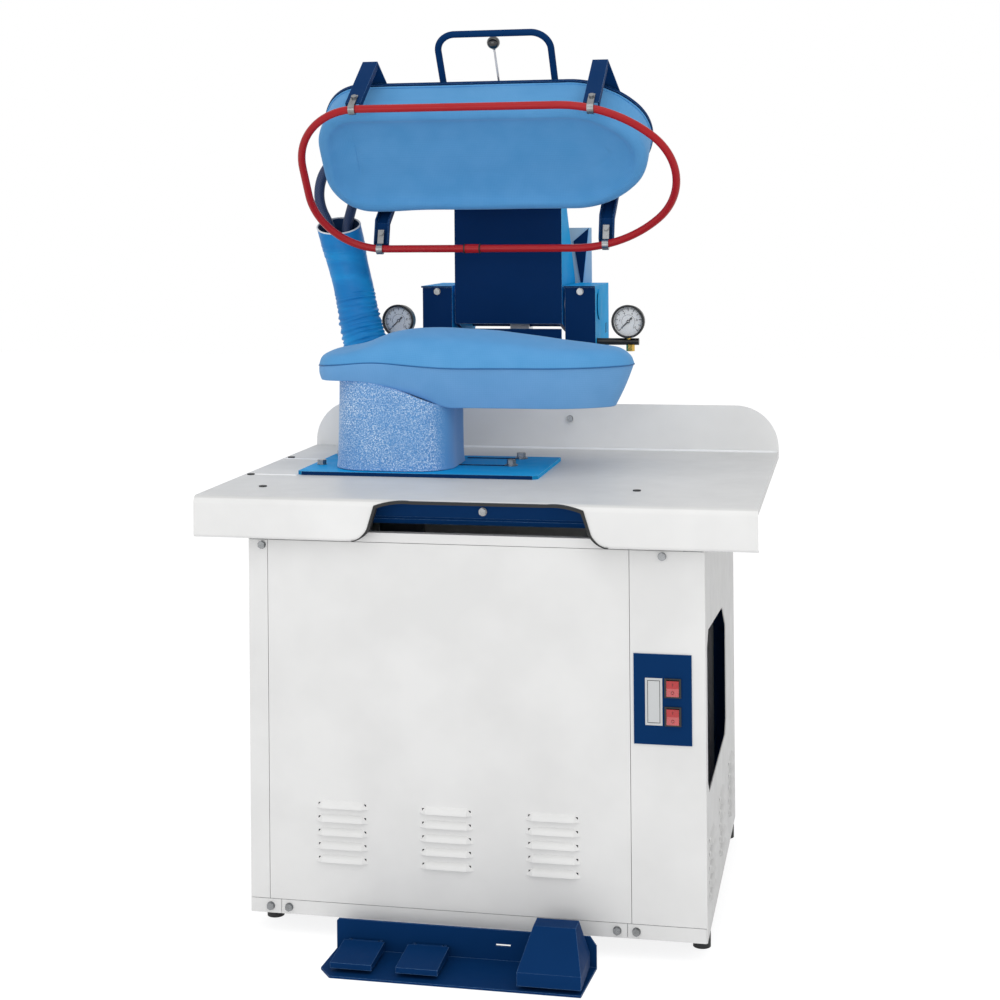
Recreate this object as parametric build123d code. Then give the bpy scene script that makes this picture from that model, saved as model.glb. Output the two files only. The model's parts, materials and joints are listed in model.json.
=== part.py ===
from build123d import *
import math
import os
from dataclasses import dataclass, replace

os.makedirs("parts", exist_ok=True)

# Pneumatic garment press with a swinging padded head over a cantilevered padded buck.
# Millimetres. X runs to the right, Y from the cabinet's front face to the rear, Z up from
# the floor. X = 0 is the middle of the cabinet. save() moves Y so that the origin is the
# middle of the whole depth.

# Cabinet and table
cabinet_width = 884.0
cabinet_depth = 720.0
cabinet_bottom = 40.0
table_height = 850.0
table_width = 1085.0
table_front = -33.0
table_overhang = 46.0
apron_height = 80.0
apron_bend = 14.0
apron_lip = 16.0
side_flange = 12.0
sheet = 2.0
tube = 40.0
tube_wall = 3.0
rail_height = 27.0
top_rail_drop = 68.0
top_rail_height = 18.0
left_rail_bolts = (40.0, 77.0)
right_rail_bolts = (168.0, 132.0)
panel_gap = 1.0
return_depth = 20.0
left_strip = 38.0
column_width = 140.0
backguard_rise = 105.0
backguard_bolt_x = 66.0
backguard_bolt_drop = 35.0
backguard_radius = 95.0
notch_left = -178.0
notch_right = 219.0
notch_lip = 4.0
notch_flare = 66.0
notch_sag = 9.0
notch_ease = 70.0
beam_bolt_x = 20.0
beam_bolt_drop = 26.0
trim_proud = 2.5
plug_places = ((95.5, 101.0), (840.5, 153.0), (14.5, 259.0), (14.5, 529.0))

# Louvres
louvre_length = 103.0
louvre_height = 14.0
louvre_rise = 6.5
louvre_pitch = 26.0
louvre_rows = 5
louvre_first_z = 146.0
door_louvre_centres = (-257.0, -51.5, 154.0)
side_louvre_centres = (100.0, 340.0, 580.0)
side_louvre_z = 100.0

# Service opening in the right side panel
service_front = 35.0
service_rear = 480.0
service_bottom = 300.0
service_top = 606.0
service_corner = 28.0

# Control plate and rocker switches
plate_width = 108.0
plate_bottom = 404.0
plate_top = 572.0
plate_thick = 2.0
switch_edge = 60.5
switch_width = 31.0
switch_height = 36.0
switch_levels = (457.5, 510.0)
rocker_width = 23.0
rocker_height = 29.0
rocker_pin_radius = 2.0
rocker_depth = 9.0

# Lower buck on its pedestal
arm_reach = 439.0
plate_left = -430.0
plate_right = 80.0
plate_ahead = 144.0
plate_behind = 149.0
base_plate_thick = 8.0
base_plate_corner = 10.0
plate_rail_inset = 14.0
slot_width = 20.0
clamp_washer = 14.0
clamp_washer_thick = 2.5
slot_length = 135.0
slot_right = 8.0
slot_setbacks = (2.0, 114.0)
pedestal_x = -241.0
pedestal_width = 250.0
pedestal_top_depth = 226.0
pedestal_corner = 80.0
pedestal_wall = 10.0
column_radius = 70.0
column_wall = 6.0
duct_radius = 50.0
buck_left = -406.0
buck_tip = 262.0
buck_half = 128.0
buck_rise = 228.0
buck_depth = 90.0
buck_inset = 40.0
buck_left_inset = 14.0
keel_left_rise = 55.0
keel_left_x = -300.0
keel_level_x = -115.0
crown_edge_share = 0.42
crown_inset = 44.0
crown_rises = (
    (-450.0, 6.0), (-380.0, 27.0), (-312.0, 41.0), (-255.0, 63.0), (-180.0, 72.0),
    (-40.0, 66.0), (100.0, 49.0), (190.0, 37.0), (240.0, 26.0), (290.0, -10.0),
)

# Tower, pivot and cylinder
tower_stand_off = 70.0
tower_depth = 219.0
tower_head = 41.0
left_upright_x = -287.0
upright_width = 71.0
tower_gap = 269.0
upright_sheet = 4.0
upright_slot_drop = 91.0
upright_slot_height = 24.0
cap_thick = 4.0
cap_lip = 3.0
pivot_setback = 60.0
pivot_rise = 102.0
shaft_radius = 25.0
running_clearance = 0.05
bearing_radius = 38.0
bearing_width = 26.0
open_angle = 54.5
guard_drop = 31.0
guard_height = 169.0
guard_width = 330.0
cross_plate_drop = 96.0
cross_plate_height = 238.0
cross_plate_thick = 4.0
cross_plate_gap = 9.0
lever_radius = 111.0
tail_pin_radius = 8.0
yoke_play = 1.1
cylinder_bore = 40.0
barrel_wall = 5.0
barrel_drop = 180.0
barrel_length = 338.0
end_cap = 24.0
bracket_thick = 12.0
rod_radius = 12.5
piston_length = 30.0
yoke_width = 46.0

# Head: sizes with the head closed over the buck
head_left = -462.0
head_tip = 274.0
head_half = 136.0
head_nose = 172.0
head_tip_radius = 108.0
head_corner = 96.0
head_gap = 50.0
head_height = 104.0
dish_depth = 24.0
dish_inset = 26.0
dish_slope = 55.0
head_edge_round = 18.0
shell_inset = 26.0
shell_height = 62.0
back_plate_thick = 8.0
back_plate_proud = 5.0
arm_width = 255.0
arm_side = 8.0
arm_skin = 6.0
arm_rise = 93.0

# Safety bar round the head
bar_left = -479.0
bar_tip = 344.0
bar_half = 186.5
bar_drop = 68.0
bar_radius = 8.5
bar_nose = 240.0
bar_tip_radius = 150.0
bar_corner = 150.0
bar_travel = 10.0
bracket_offset = 258.0
bracket_width = 34.0
bracket_section = 14.0
bracket_sheet = 3.0
bracket_gap = 8.0
bracket_knee_drop = 13.0
clip_reach = 30.0
guide_inset = 34.0
guide_radius = 6.0
guide_play = 0.5
guide_block = 2.0
buffer_radius = 12.0
buffer_length = 22.0
clip_wall = 4.0
clip_width = 14.0

# Handle and steam lever
handle_x = -55.0
handle_half = 126.0
handle_reach = 128.0
handle_radius = 7.5
handle_corner = 42.0
handle_tail = 46.0
lever_x = -58.0
lever_length = 112.0
lever_radius_rod = 2.5
knob_radius = 14.5
lever_hub_radius = 9.0

# Gauges
gauge_radius = 37.0
gauge_depth = 26.0
gauge_setback = 12.0
gauge_drop = 79.0
gauge_offset = 74.0
gauge_pipe_radius = 8.0
gauge_pipe_drop = 47.0

# Hoses and their sleeve
sleeve_radius = 51.0
sleeve_wall = 5.0
hose_radius = 12.0
sleeve_rim_rise = 500.0
sleeve_rim_slant = 38.0
sleeve_inset = 90.0
sleeve_setback = 145.0
sleeve_straight = 80.0
hose_spacing = 34.0
hose_straight = 75.0
hose_foot_rise = 34.0
union_offsets = ((-418.0, 25.0, 51.5), (-392.0, 59.0, 23.0))
union_leads = (47.0, 54.0)
# Route points above the feet: x, distance ahead of the tower, height above the table
sleeve_path = ((-376.0, 123.0, 175.0), (-412.0, 102.0, 270.0), (-439.0, 93.0, 400.0),
               (-466.0, 90.0, 550.0))
steam_hose_path = (
    (-394.0, 124.0, 170.0), (-427.0, 104.0, 265.0), (-453.0, 96.0, 365.0), (-470.0, 91.0, 450.0),
    (-485.0, 86.0, 515.0), (-515.0, 81.0, 568.0), (-513.0, 81.0, 623.0),
)
suction_hose_path = (
    (-363.0, 126.0, 170.0), (-397.0, 104.0, 265.0), (-422.0, 92.0, 365.0), (-439.0, 86.0, 441.0),
    (-452.0, 79.0, 502.0), (-444.0, 53.0, 560.0),
)
hose_union_radius = 15.0
hose_union_length = 40.0
hose_union_height = 15.0

# Boiler room
boiler_x = 240.0
boiler_y = 262.0
boiler_radius = 145.0
boiler_bottom = 130.0
boiler_top = 640.0
boiler_leg = 16.0
boiler_flange_rise = 90.0
fan_radius = 150.0
fan_height = 110.0
fan_bottom = 230.0
motor_radius = 62.0
tank_width = 190.0
tank_depth = 210.0
tank_height = 260.0
tank_x = 30.0
tank_rear_gap = 160.0
pump_x = -40.0
pump_y = 150.0
pump_radius = 48.0
pump_length = 190.0

# Rear connections, measured in from the cabinet's sides
air_inlet = (112.0, 180.0, 6.0, 26.0)
water_inlet = (64.0, 180.0, 9.5, 30.0)
drain_outlet = (112.0, 130.0, 9.5, 30.0)

# Feet
foot_radius = 17.0
foot_pad = 28.0
foot_stem = 5.0
foot_front = 91.0

# Pedal board
board_left = -257.0
board_right = 243.0
board_taper = 10.0
board_front = -178.0
board_rear = -50.0
board_sheet = 4.0
board_corner = 26.0
upstand_height = 60.0
upstand_corner = 12.0
upstand_slot = (161.0, 28.0, 30.0, 4.0)
pedal_front = -162.0
pedal_hinge_y = -62.0
pedal_hinge_z = 21.0
pedal_pin_radius = 3.0
pedal_width = 78.0
pedal_lefts = (-234.0, -110.0)
pedal_front_height = 22.0
pedal_rear_height = 28.0
pedal_gap = 12.0
pedal_wall = 3.0
main_left = 117.0
main_width = 116.0
main_front = -176.0
main_front_height = 36.0
main_top = 96.0
main_top_front = -112.0
main_top_rear = -62.0
main_top_inset = 19.0
pedal_angle = 3.5

half_cabinet = cabinet_width / 2
half_table = table_width / 2
table_under = table_height - sheet
top_rail_top = table_height - top_rail_drop
top_rail_bottom = top_rail_top - top_rail_height
backguard_top = table_height + backguard_rise
notch_top = table_height - notch_lip
switch_x = half_cabinet - switch_edge
buck_seam = table_height + buck_rise
buck_bottom = buck_seam - buck_depth
crown_line = tuple((x, buck_seam + rise) for x, rise in crown_rises)
head_rim = buck_seam + head_gap
head_top = head_rim + head_height
arm_top = head_top + arm_rise
bar_z = head_rim - bar_drop
pivot_z = buck_seam + pivot_rise
tower_top = pivot_z + tower_head
guard_bottom = tower_top - guard_drop
guard_top = guard_bottom + guard_height
cross_plate_top = tower_top - cross_plate_drop
cross_plate_bottom = cross_plate_top - cross_plate_height
barrel_top = pivot_z - barrel_drop
barrel_bottom = barrel_top - barrel_length
gauge_z = tower_top - gauge_drop
sleeve_rim_front = table_height + sleeve_rim_rise
sleeve_rim_rear = sleeve_rim_front + sleeve_rim_slant
hose_foot_top = table_height + hose_foot_rise
table_rear = cabinet_depth + table_overhang
tower_front = cabinet_depth + tower_stand_off
pivot_y = tower_front + pivot_setback
press_y = pivot_y - arm_reach
plate_front_y = press_y - plate_ahead
plate_rear_y = press_y + plate_behind
slot_levels = tuple(press_y + setback for setback in slot_setbacks)
gauge_y = tower_front + gauge_setback
tank_y = cabinet_depth - tank_rear_gap
union_places = tuple((x, press_y + back, turn) for x, back, turn in union_offsets)
sleeve_x = -half_cabinet + sleeve_inset
sleeve_y = tower_front - sleeve_setback
hose_foot_x = (sleeve_x - hose_spacing / 2, sleeve_x + hose_spacing / 2)
sill_top = cabinet_bottom + tube
tower_rear = tower_front + tower_depth
right_upright_x = left_upright_x + upright_width + tower_gap
press_x = left_upright_x + upright_width + tower_gap / 2
middle_y = (board_front + tower_rear + sheet) / 2
plate_top_z = table_height + base_plate_thick
plate_y = (plate_front_y + plate_rear_y) / 2
back_top = head_top + back_plate_thick
door_left = -half_cabinet + left_strip + panel_gap
door_right = half_cabinet - column_width - panel_gap
panel_low = cabinet_bottom + rail_height + panel_gap
panel_high = top_rail_bottom - panel_gap


@dataclass(frozen=True)
class Oval:
    """Egg-shaped plan: rounded corners at the left, a long rounded nose at the right."""
    left: float
    tip: float
    half: float
    nose: float
    tip_radius: float
    corner: float

    def grown(self, by):
        """The parallel outline, by mm outside this one."""
        return replace(self, left=self.left - by, tip=self.tip + by, half=self.half + by,
                       nose=self.nose + by, tip_radius=self.tip_radius + by,
                       corner=self.corner + by)

    def flank_radius(self):
        """Radius of the long flank arc that runs into the nose."""
        offset = self.nose - self.tip_radius
        spread = self.half - self.tip_radius
        return (offset**2 + self.half**2 - self.tip_radius**2) / (2 * spread)

    def reach(self, x):
        """Half width at x, on the straight run or the flank arc."""
        flank = self.flank_radius()
        past = max(0.0, x - self.tip + self.nose)
        return math.sqrt(flank**2 - past**2) - (flank - self.half)

    def wire(self, z):
        """The outline at height z, centred on press_y."""
        offset = self.nose - self.tip_radius
        flank = self.flank_radius()
        rise = flank - self.half
        reach = math.hypot(offset, rise)
        start_x = self.tip - self.nose
        turn = math.atan2(offset, rise)

        def on_flank(angle, side):
            return (start_x + flank * math.sin(angle),
                    press_y + side * (flank * math.cos(angle) - rise), z)

        def on_corner(angle, side):
            return (self.left + self.corner * (1 - math.cos(angle)),
                    press_y + side * (self.half - self.corner * (1 - math.sin(angle))), z)

        join_x = start_x + flank * offset / reach
        join_y = flank * rise / reach - rise
        quarter = math.pi / 2
        edges = [
            Edge.make_three_point_arc(on_corner(0, -1), on_corner(quarter / 2, -1),
                                      on_corner(quarter, -1)),
            Edge.make_line(on_corner(quarter, -1), on_flank(0, -1)),
            Edge.make_three_point_arc(on_flank(0, -1), on_flank(turn / 2, -1),
                                      (join_x, press_y - join_y, z)),
            Edge.make_three_point_arc((join_x, press_y - join_y, z), (self.tip, press_y, z),
                                      (join_x, press_y + join_y, z)),
            Edge.make_three_point_arc((join_x, press_y + join_y, z), on_flank(turn / 2, 1),
                                      on_flank(0, 1)),
            Edge.make_line(on_flank(0, 1), on_corner(quarter, 1)),
            Edge.make_three_point_arc(on_corner(quarter, 1), on_corner(quarter / 2, 1), on_corner(0, 1)),
            Edge.make_line(on_corner(0, 1), on_corner(0, -1)),
        ]
        return Wire(edges)

    def face(self, z):
        """The outline filled, at height z."""
        return Face(self.wire(z))

    def slab(self, z0, z1):
        """The outline as a prism from z0 to z1."""
        return extrude(self.face(z0), amount=z1 - z0, dir=(0, 0, 1))


buck_oval = Oval(buck_left, buck_tip, buck_half, nose=182.0, tip_radius=84.0, corner=78.0)
head_oval = Oval(head_left, head_tip, head_half, head_nose, head_tip_radius, head_corner)
bar_oval = Oval(bar_left, bar_tip, bar_half, bar_nose, bar_tip_radius, bar_corner)


def block(x0, x1, y0, y1, z0, z1):
    """A box between two corners."""
    return Pos((x0 + x1) / 2, (y0 + y1) / 2, (z0 + z1) / 2) * Box(x1 - x0, y1 - y0, z1 - z0)


def round_bar(start, direction, radius, length):
    """A cylinder from start, along direction."""
    return Solid.make_cylinder(radius, length, Plane(origin=start, z_dir=direction))


def prism(points, vector):
    """A closed outline of 3-D points, moved along vector to make a solid."""
    face = Face(Wire.make_polygon([Vector(*p) for p in points], close=True))
    return Solid.extrude(face, Vector(*vector))


def prism_x(outline, x0, x1):
    """A (y, z) outline as a plate from x0 to x1."""
    return prism([(x0, y, z) for y, z in outline], (x1 - x0, 0, 0))


def prism_y(outline, y0, y1):
    """An (x, z) outline as a plate from y0 to y1."""
    return prism([(x, y0, z) for x, z in outline], (0, y1 - y0, 0))


def prism_z(outline, z0, z1):
    """An (x, y) outline as a plate from z0 to z1."""
    return prism([(x, y, z0) for x, y in outline], (0, 0, z1 - z0))


def opened(shape):
    """Swing a shape from the closed head to the open rest pose."""
    return shape.rotate(Axis((0, pivot_y, pivot_z), (1, 0, 0)), -open_angle)


def hexagon(x, y, z, direction, across, length):
    """A hexagonal bolt head or nut."""
    face = Plane(origin=(x, y, z), z_dir=direction) * RegularPolygon(across / math.sqrt(3), 6)
    return extrude(face, amount=length)


def save(name, *shapes):
    """Write the shapes of one node, moved to the part's own origin."""
    solids = [s for shape in shapes for s in shape.solids()]
    moved = [Pos(0, -middle_y, 0) * s for s in solids]
    export_step(Compound(children=moved) if len(moved) > 1 else moved[0], f"parts/{name}.step")


def tube_run(x0, x1, y0, y1, z0, z1, axis):
    """A square tube open at both ends, along axis X, Y or Z."""
    wall = tube_wall
    solid = block(x0, x1, y0, y1, z0, z1)
    dx, dy, dz = (-1 if axis == name else wall for name in "XYZ")
    return solid - block(x0 + dx, x1 - dx, y0 + dy, y1 - dy, z0 + dz, z1 - dz)


def base_frame():
    """Square-tube frame, floor tray and the two rails that carry the tower."""
    side = half_cabinet - sheet
    inner = side - tube
    front, rear = return_depth, cabinet_depth - sheet
    low, high, top = cabinet_bottom, sill_top, table_under
    tubes = []
    for y0 in (front, rear - tube):
        tubes.append(tube_run(-inner, inner, y0, y0 + tube, low, high, "X"))
    for x0 in (-side, inner):
        tubes.append(tube_run(x0, x0 + tube, front, rear, low, high, "Y"))
        for y0 in (front, rear - tube):
            tubes.append(tube_run(x0, x0 + tube, y0, y0 + tube, high, top, "Z"))
        tubes.append(tube_run(x0, x0 + tube, front + tube, rear - tube, top - tube, top, "Y"))
    tubes.append(tube_run(-inner, inner, rear - tube, rear, top - tube, top, "X"))
    for level in (plate_front_y + plate_rail_inset, plate_rear_y - plate_rail_inset):
        tubes.append(tube_run(-inner, inner, level - tube / 2, level + tube / 2, top - tube, top, "X"))
    for x0 in (left_upright_x, right_upright_x):
        middle = x0 + upright_width / 2
        x1, x2 = middle - tube * 0.75, middle + tube * 0.75
        tubes.append(tube_run(x1, x2, rear, tower_rear, low, high, "Y"))
        tubes.append(tube_run(x1, x2, front + tube, rear - tube, low, high, "Y"))
    tray = block(-inner, inner, front + tube, rear - tube, high, high + sheet)
    save("base_frame", *tubes, tray, cross_beam())


def foot_places():
    """The (x, y) of each foot."""
    side = half_cabinet - sheet - foot_radius
    rear = cabinet_depth - sheet - foot_radius
    places = [(x, y) for x in (-side, side) for y in (foot_front, rear)]
    for x0 in (left_upright_x, right_upright_x):
        places.append((x0 + upright_width / 2, tower_rear - foot_radius))
    return places


def levelling_feet():
    """Rubber pad, threaded stem and lock nut at each corner and under the tower."""
    feet = []
    for x, y in foot_places():
        pad = Pos(x, y, foot_pad / 2) * Cylinder(foot_radius, foot_pad)
        stem = round_bar((x, y, foot_pad / 2), (0, 0, 1), foot_stem, cabinet_bottom - foot_pad / 2)
        nut = hexagon(x, y, cabinet_bottom - foot_stem, (0, 0, 1), 3 * foot_stem, foot_stem)
        feet.append(pad + stem + nut)
    save("levelling_feet", *feet)


def louvre_wedge(length, height, rise, end):
    """A pressed louvre's outer form, on the plane Y = 0, bulging towards -Y, open edge down."""
    def section(x, share):
        top = (x, 0, height * share)
        low = (x, 0, 0)
        nose = (x, -rise * share, 0)
        middle = (x, -rise * share * 0.72, height * share * 0.52)
        return Face(Wire([Edge.make_line(top, low), Edge.make_line(low, nose),
                          Edge.make_three_point_arc(nose, middle, top)]))

    half = length / 2
    straight = half - end
    core = extrude(section(-straight, 1.0), amount=2 * straight, dir=(1, 0, 0))
    small = 0.12
    right = loft([section(straight, 1.0), section(half, small)], ruled=True)
    left = loft([section(-half, small), section(-straight, 1.0)], ruled=True)
    return core + left + right


louvre_outer = louvre_wedge(louvre_length, louvre_height, louvre_rise, end=12.0)
louvre_inner = louvre_wedge(louvre_length - 2.6, louvre_height - 1.6, louvre_rise - 1.4, end=11.0)
louvre_slot = block(-louvre_length / 2 + 4, louvre_length / 2 - 4, -0.5, sheet + 1, 0.4, louvre_height - 4)


def add_louvres(panel, places):
    """Press louvres into a panel at each Location."""
    bumps = [place * louvre_outer for place in places]
    hollows = [place * louvre_inner for place in places]
    slots = [place * louvre_slot for place in places]
    return panel + bumps - hollows - slots


def tray_panel(x0, x1, z0, z1, depth):
    """A front panel folded back on all four edges, outer face at Y = 0."""
    outer = block(x0, x1, 0, depth, z0, z1)
    return outer - block(x0 + sheet, x1 - sheet, sheet, depth + 1, z0 + sheet, z1 - sheet)


def front_door():
    """Louvred front door."""
    door = tray_panel(door_left, door_right, panel_low, panel_high, return_depth)
    places = [Pos(x, 0, louvre_first_z + row * louvre_pitch)
              for x in door_louvre_centres for row in range(louvre_rows)]
    save("front_door", add_louvres(door, places))


def switch_hole(level, y0, y1):
    """The cut that lets a switch box through a plate."""
    half_x, half_z = rocker_width / 2 + 2, rocker_height / 2 + 2
    return block(switch_x - half_x, switch_x + half_x, y0, y1, level - half_z, level + half_z)


def control_column():
    """Narrow front panel that carries the control plate."""
    x0 = half_cabinet - column_width
    column = block(x0, half_cabinet, 0, sheet, panel_low, panel_high)
    for left in (x0, half_cabinet - 2 * sheet):
        column += block(left, left + sheet, 0, return_depth, panel_low, panel_high)
    for level in switch_levels:
        column -= switch_hole(level, -1, sheet + 1)
    save("control_column", column)


def left_side_panel():
    """Left side with its front strip and rear return."""
    left = -half_cabinet
    fold = left + left_strip - 7
    panel = block(left, left + sheet, 0, cabinet_depth, cabinet_bottom, table_under)
    panel += block(left, left + left_strip, 0, sheet, panel_low, panel_high)
    panel += block(fold, fold + sheet, sheet, return_depth, panel_low, panel_high)
    save("left_side_panel", panel)


def right_side_panel():
    """Right side with three columns of louvres and the service opening."""
    panel = block(half_cabinet - sheet, half_cabinet, sheet, cabinet_depth, cabinet_bottom, table_under)
    front, rear, low, high, cut = service_front, service_rear, service_bottom, service_top, service_corner
    opening = prism_x([(front, low + cut), (front + cut, low), (rear - cut, low), (rear, low + cut),
                       (rear, high - 3 * cut), (rear - 3 * cut, high - cut), (front + cut, high),
                       (front, high - cut)], half_cabinet - sheet - 1, half_cabinet + 1)
    turn = Rot(0, 0, 90)
    places = [Pos(half_cabinet, y, side_louvre_z + row * louvre_pitch) * turn
              for y in side_louvre_centres for row in range(louvre_rows)]
    save("right_side_panel", add_louvres(panel, places) - opening)


def rear_panel():
    """Plain rear panel, holed for the service connections."""
    side = half_cabinet - sheet
    panel = block(-side, side, cabinet_depth - sheet, cabinet_depth, sill_top + panel_gap, table_under)
    for x, z, radius, length in service_points():
        panel -= round_bar((x, cabinet_depth - sheet - 1, z), (0, 1, 0), radius + 3, sheet + 2)
    save("rear_panel", panel)


def front_rails():
    """Bottom rail with its two corner shoes, and the top rail under the table."""
    low, high = cabinet_bottom, cabinet_bottom + rail_height
    side = half_cabinet - sheet
    left_seam, right_seam = -half_cabinet + 61, half_cabinet - 149
    spans = ((-side, left_seam), (left_seam + panel_gap, right_seam), (right_seam + panel_gap, side))
    rails = []
    for x0, x1 in spans:
        rail = block(x0, x1, 0, sheet, low, high)
        rails.append(rail + block(x0, x1, 0, return_depth, low, low + sheet))
    top = block(-side, half_cabinet, 0, sheet, top_rail_bottom, top_rail_top)
    top += block(-side, side, 0, return_depth, top_rail_top - sheet, top_rail_top)
    save("front_rails", *rails, top)


def bolt(x, y, z, direction, across, head):
    """A hexagon head on its washer, proud of a face."""
    washer = round_bar((x, y, z), direction, across * 0.62, 1.5)
    start = [c + 1.5 * d for c, d in zip((x, y, z), direction)]
    return washer + hexagon(*start, direction, across, head)


def frame_bolts():
    """Hexagon bolts of the cabinet front, base plate, tower and back guard."""
    bolts = []
    places = [inset - half_cabinet for inset in left_rail_bolts]
    for x in places + [half_cabinet - inset for inset in right_rail_bolts]:
        bolts.append(bolt(x, 0, cabinet_bottom + rail_height / 2, (0, -1, 0), 13.0, 5.0))
    for x in (-half_cabinet + 27, half_cabinet - 79):
        bolts.append(bolt(x, 0, panel_high - 10, (0, -1, 0), 13.0, 5.0))
    bolts.append(bolt(backguard_bolt_x, table_rear, backguard_top - backguard_bolt_drop, (0, -1, 0),
                      13.0, 5.0))
    for level in slot_levels:
        x, up = slot_right - slot_width / 2, plate_top_z + clamp_washer_thick
        washer = round_bar((x, level, plate_top_z), (0, 0, 1), clamp_washer, clamp_washer_thick)
        bolts.append(washer + bolt(x, level, up, (0, 0, 1), 17.0, 9.0))
    bolts.append(bolt(plate_left + 21, press_y - 35, plate_top_z, (0, 0, 1), 17.0, 9.0))
    bolts.append(bolt(plate_left + 21, plate_rear_y - 35, plate_top_z, (0, 0, 1), 17.0, 9.0))
    bolts.append(bolt(beam_bolt_x, cross_beam_front(), table_height - beam_bolt_drop, (0, -1, 0),
                      13.0, 5.0))
    for x0 in (left_upright_x, right_upright_x):
        bolts.append(bolt(x0 + upright_width / 2, tower_front, tower_top - 9, (0, -1, 0), 13.0, 5.0))
    save("frame_bolts", *bolts)


def cross_beam_front():
    """Front face of the beam behind the apron notch."""
    return return_depth


def cross_beam():
    """Folded beam that carries the table's front edge, seen through the apron notch."""
    inner = half_cabinet - sheet - tube
    y0, t = cross_beam_front(), 3.0
    low, ridge = top_rail_top + 15, top_rail_top + 25
    outline = [(y0, table_under), (y0, ridge + 4), (y0 - 4, ridge), (y0 + 5, low),
               (y0 + 5 + t, low), (y0 - 4 + t, ridge), (y0 + t, ridge + 4),
               (y0 + t, table_under - t), (y0 + 26, table_under - t), (y0 + 26, table_under)]
    return prism_x(outline, -inner, inner)


def notch_outline(grow):
    """The flared notch of the apron at Y = table_front - 10, grown by a margin."""
    floor = table_height - apron_height
    low = floor - 20
    left, right = notch_left - grow, notch_right + grow
    top, shoulder = notch_top + grow, notch_top - notch_sag + grow
    knee = floor + (notch_top - floor) * 0.32

    def point(x, z):
        return (x, table_front - 10, z)

    def flank(side, x):
        """Eased top corner, leaning side and flared foot of one flank."""
        lean = x + side * 14
        ease = x - side * notch_ease
        foot = x + side * notch_flare
        return [Edge.make_three_point_arc(point(ease, top), point(x - side * notch_ease * 0.3, top - 3),
                                          point(x, shoulder)),
                Edge.make_line(point(x, shoulder), point(lean, knee)),
                Edge.make_three_point_arc(point(lean, knee), point(lean + side * 14, floor + 8),
                                          point(foot, floor)),
                Edge.make_line(point(foot, floor), point(foot, low))]

    edges = flank(-1, left) + flank(1, right)
    edges.append(Edge.make_line(point(left + notch_ease, top), point(right - notch_ease, top)))
    edges.append(Edge.make_line(point(left - notch_flare, low), point(right + notch_flare, low)))
    return Face(Wire(edges))


def table_shape():
    """Folded sheet table: rounded front edge, deep front apron with a lip, shallow side flanges."""
    front, rear = table_front, table_rear
    low, high = table_height - apron_height, table_height

    def shell_outline(inset, bend, foot):
        y0, y1, z0, z1 = front + inset, rear + 1 - inset, low + inset, high - inset
        d = bend * (1 - math.sqrt(0.5))
        f = foot * (1 - math.sqrt(0.5))
        x = -half_table
        edges = [Edge.make_line((x, y1, z1), (x, y0 + bend, z1)),
                 Edge.make_three_point_arc((x, y0 + bend, z1), (x, y0 + d, z1 - d), (x, y0, z1 - bend)),
                 Edge.make_line((x, y0, z1 - bend), (x, y0, z0 + foot)),
                 Edge.make_three_point_arc((x, y0, z0 + foot), (x, y0 + f, z0 + f), (x, y0 + foot, z0)),
                 Edge.make_line((x, y0 + foot, z0), (x, y1, z0)),
                 Edge.make_line((x, y1, z0), (x, y1, z1))]
        return extrude(Face(Wire(edges)), amount=table_width, dir=(1, 0, 0))

    skin = shell_outline(0, apron_bend, 6.0) - shell_outline(sheet, apron_bend - sheet, 4.0)
    skin -= block(-half_table - 1, half_table + 1, front + apron_lip, rear + 2, low - 1, high - sheet)
    skin -= block(-half_table - 1, half_table + 1, rear - sheet, rear + 2, low - 1, high + 1)
    for side in (-1, 1):
        x0, x1 = sorted((side * half_table, side * (half_table - sheet)))
        skin += block(x0, x1, front + apron_bend, rear - sheet, high - side_flange, high - sheet)
    skin += block(-half_table, half_table, rear - sheet, rear, high - side_flange, high)
    return skin


def table_top():
    """The table with its apron notch, duct hole and hose holes."""
    table = table_shape()
    table -= extrude(notch_outline(0), amount=apron_lip + 16, dir=(0, 1, 0))
    table -= round_bar((pedestal_x, press_y, table_under - 1), (0, 0, 1), duct_radius, sheet + 2)
    for x in hose_foot_x:
        y = sleeve_y
        table -= round_bar((x, y, table_under - 1), (0, 0, 1), hose_union_radius, sheet + 2)
    save("table_top", table)


def rubber_trim():
    """Edge trim round the apron notch, and the plugs in the table top."""
    low, high = table_height - apron_height, table_height
    band = extrude(notch_outline(trim_proud) - notch_outline(-trim_proud), amount=13, dir=(0, 1, 0))
    band -= block(-half_table, half_table, table_front - 20, table_front + 40, low - 40, low)
    band -= block(-half_table, half_table, table_front + sheet + 1, table_front + 40, low - 1,
                  high - apron_bend)
    plugs = [Pos(inset - half_table, y, table_height + 1) * Cylinder(8.0, 2.0)
             for inset, y in plug_places]
    save("rubber_trim", Pos(0, 10 - trim_proud, 0) * band - table_shape_cut(), *plugs)


def table_shape_cut():
    """The notched apron, as the body that the trim grips."""
    return table_shape() - extrude(notch_outline(0), amount=apron_lip + 16, dir=(0, 1, 0))


def backguard():
    """Upright guard along the table's rear edge, round-cornered at the top."""
    low = table_height - side_flange
    r = backguard_radius
    d = r * (1 - math.sqrt(0.5))
    half, top, y = half_table, backguard_top, table_rear
    edges = [Edge.make_line((-half, y, low), (half, y, low)),
             Edge.make_line((half, y, low), (half, y, top - r)),
             Edge.make_three_point_arc((half, y, top - r), (half - d, y, top - d), (half - r, y, top)),
             Edge.make_line((half - r, y, top), (-half + r, y, top)),
             Edge.make_three_point_arc((-half + r, y, top), (-half + d, y, top - d), (-half, y, top - r)),
             Edge.make_line((-half, y, top - r), (-half, y, low))]
    save("backguard", extrude(Face(Wire(edges)), amount=sheet, dir=(0, 1, 0)))


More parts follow.
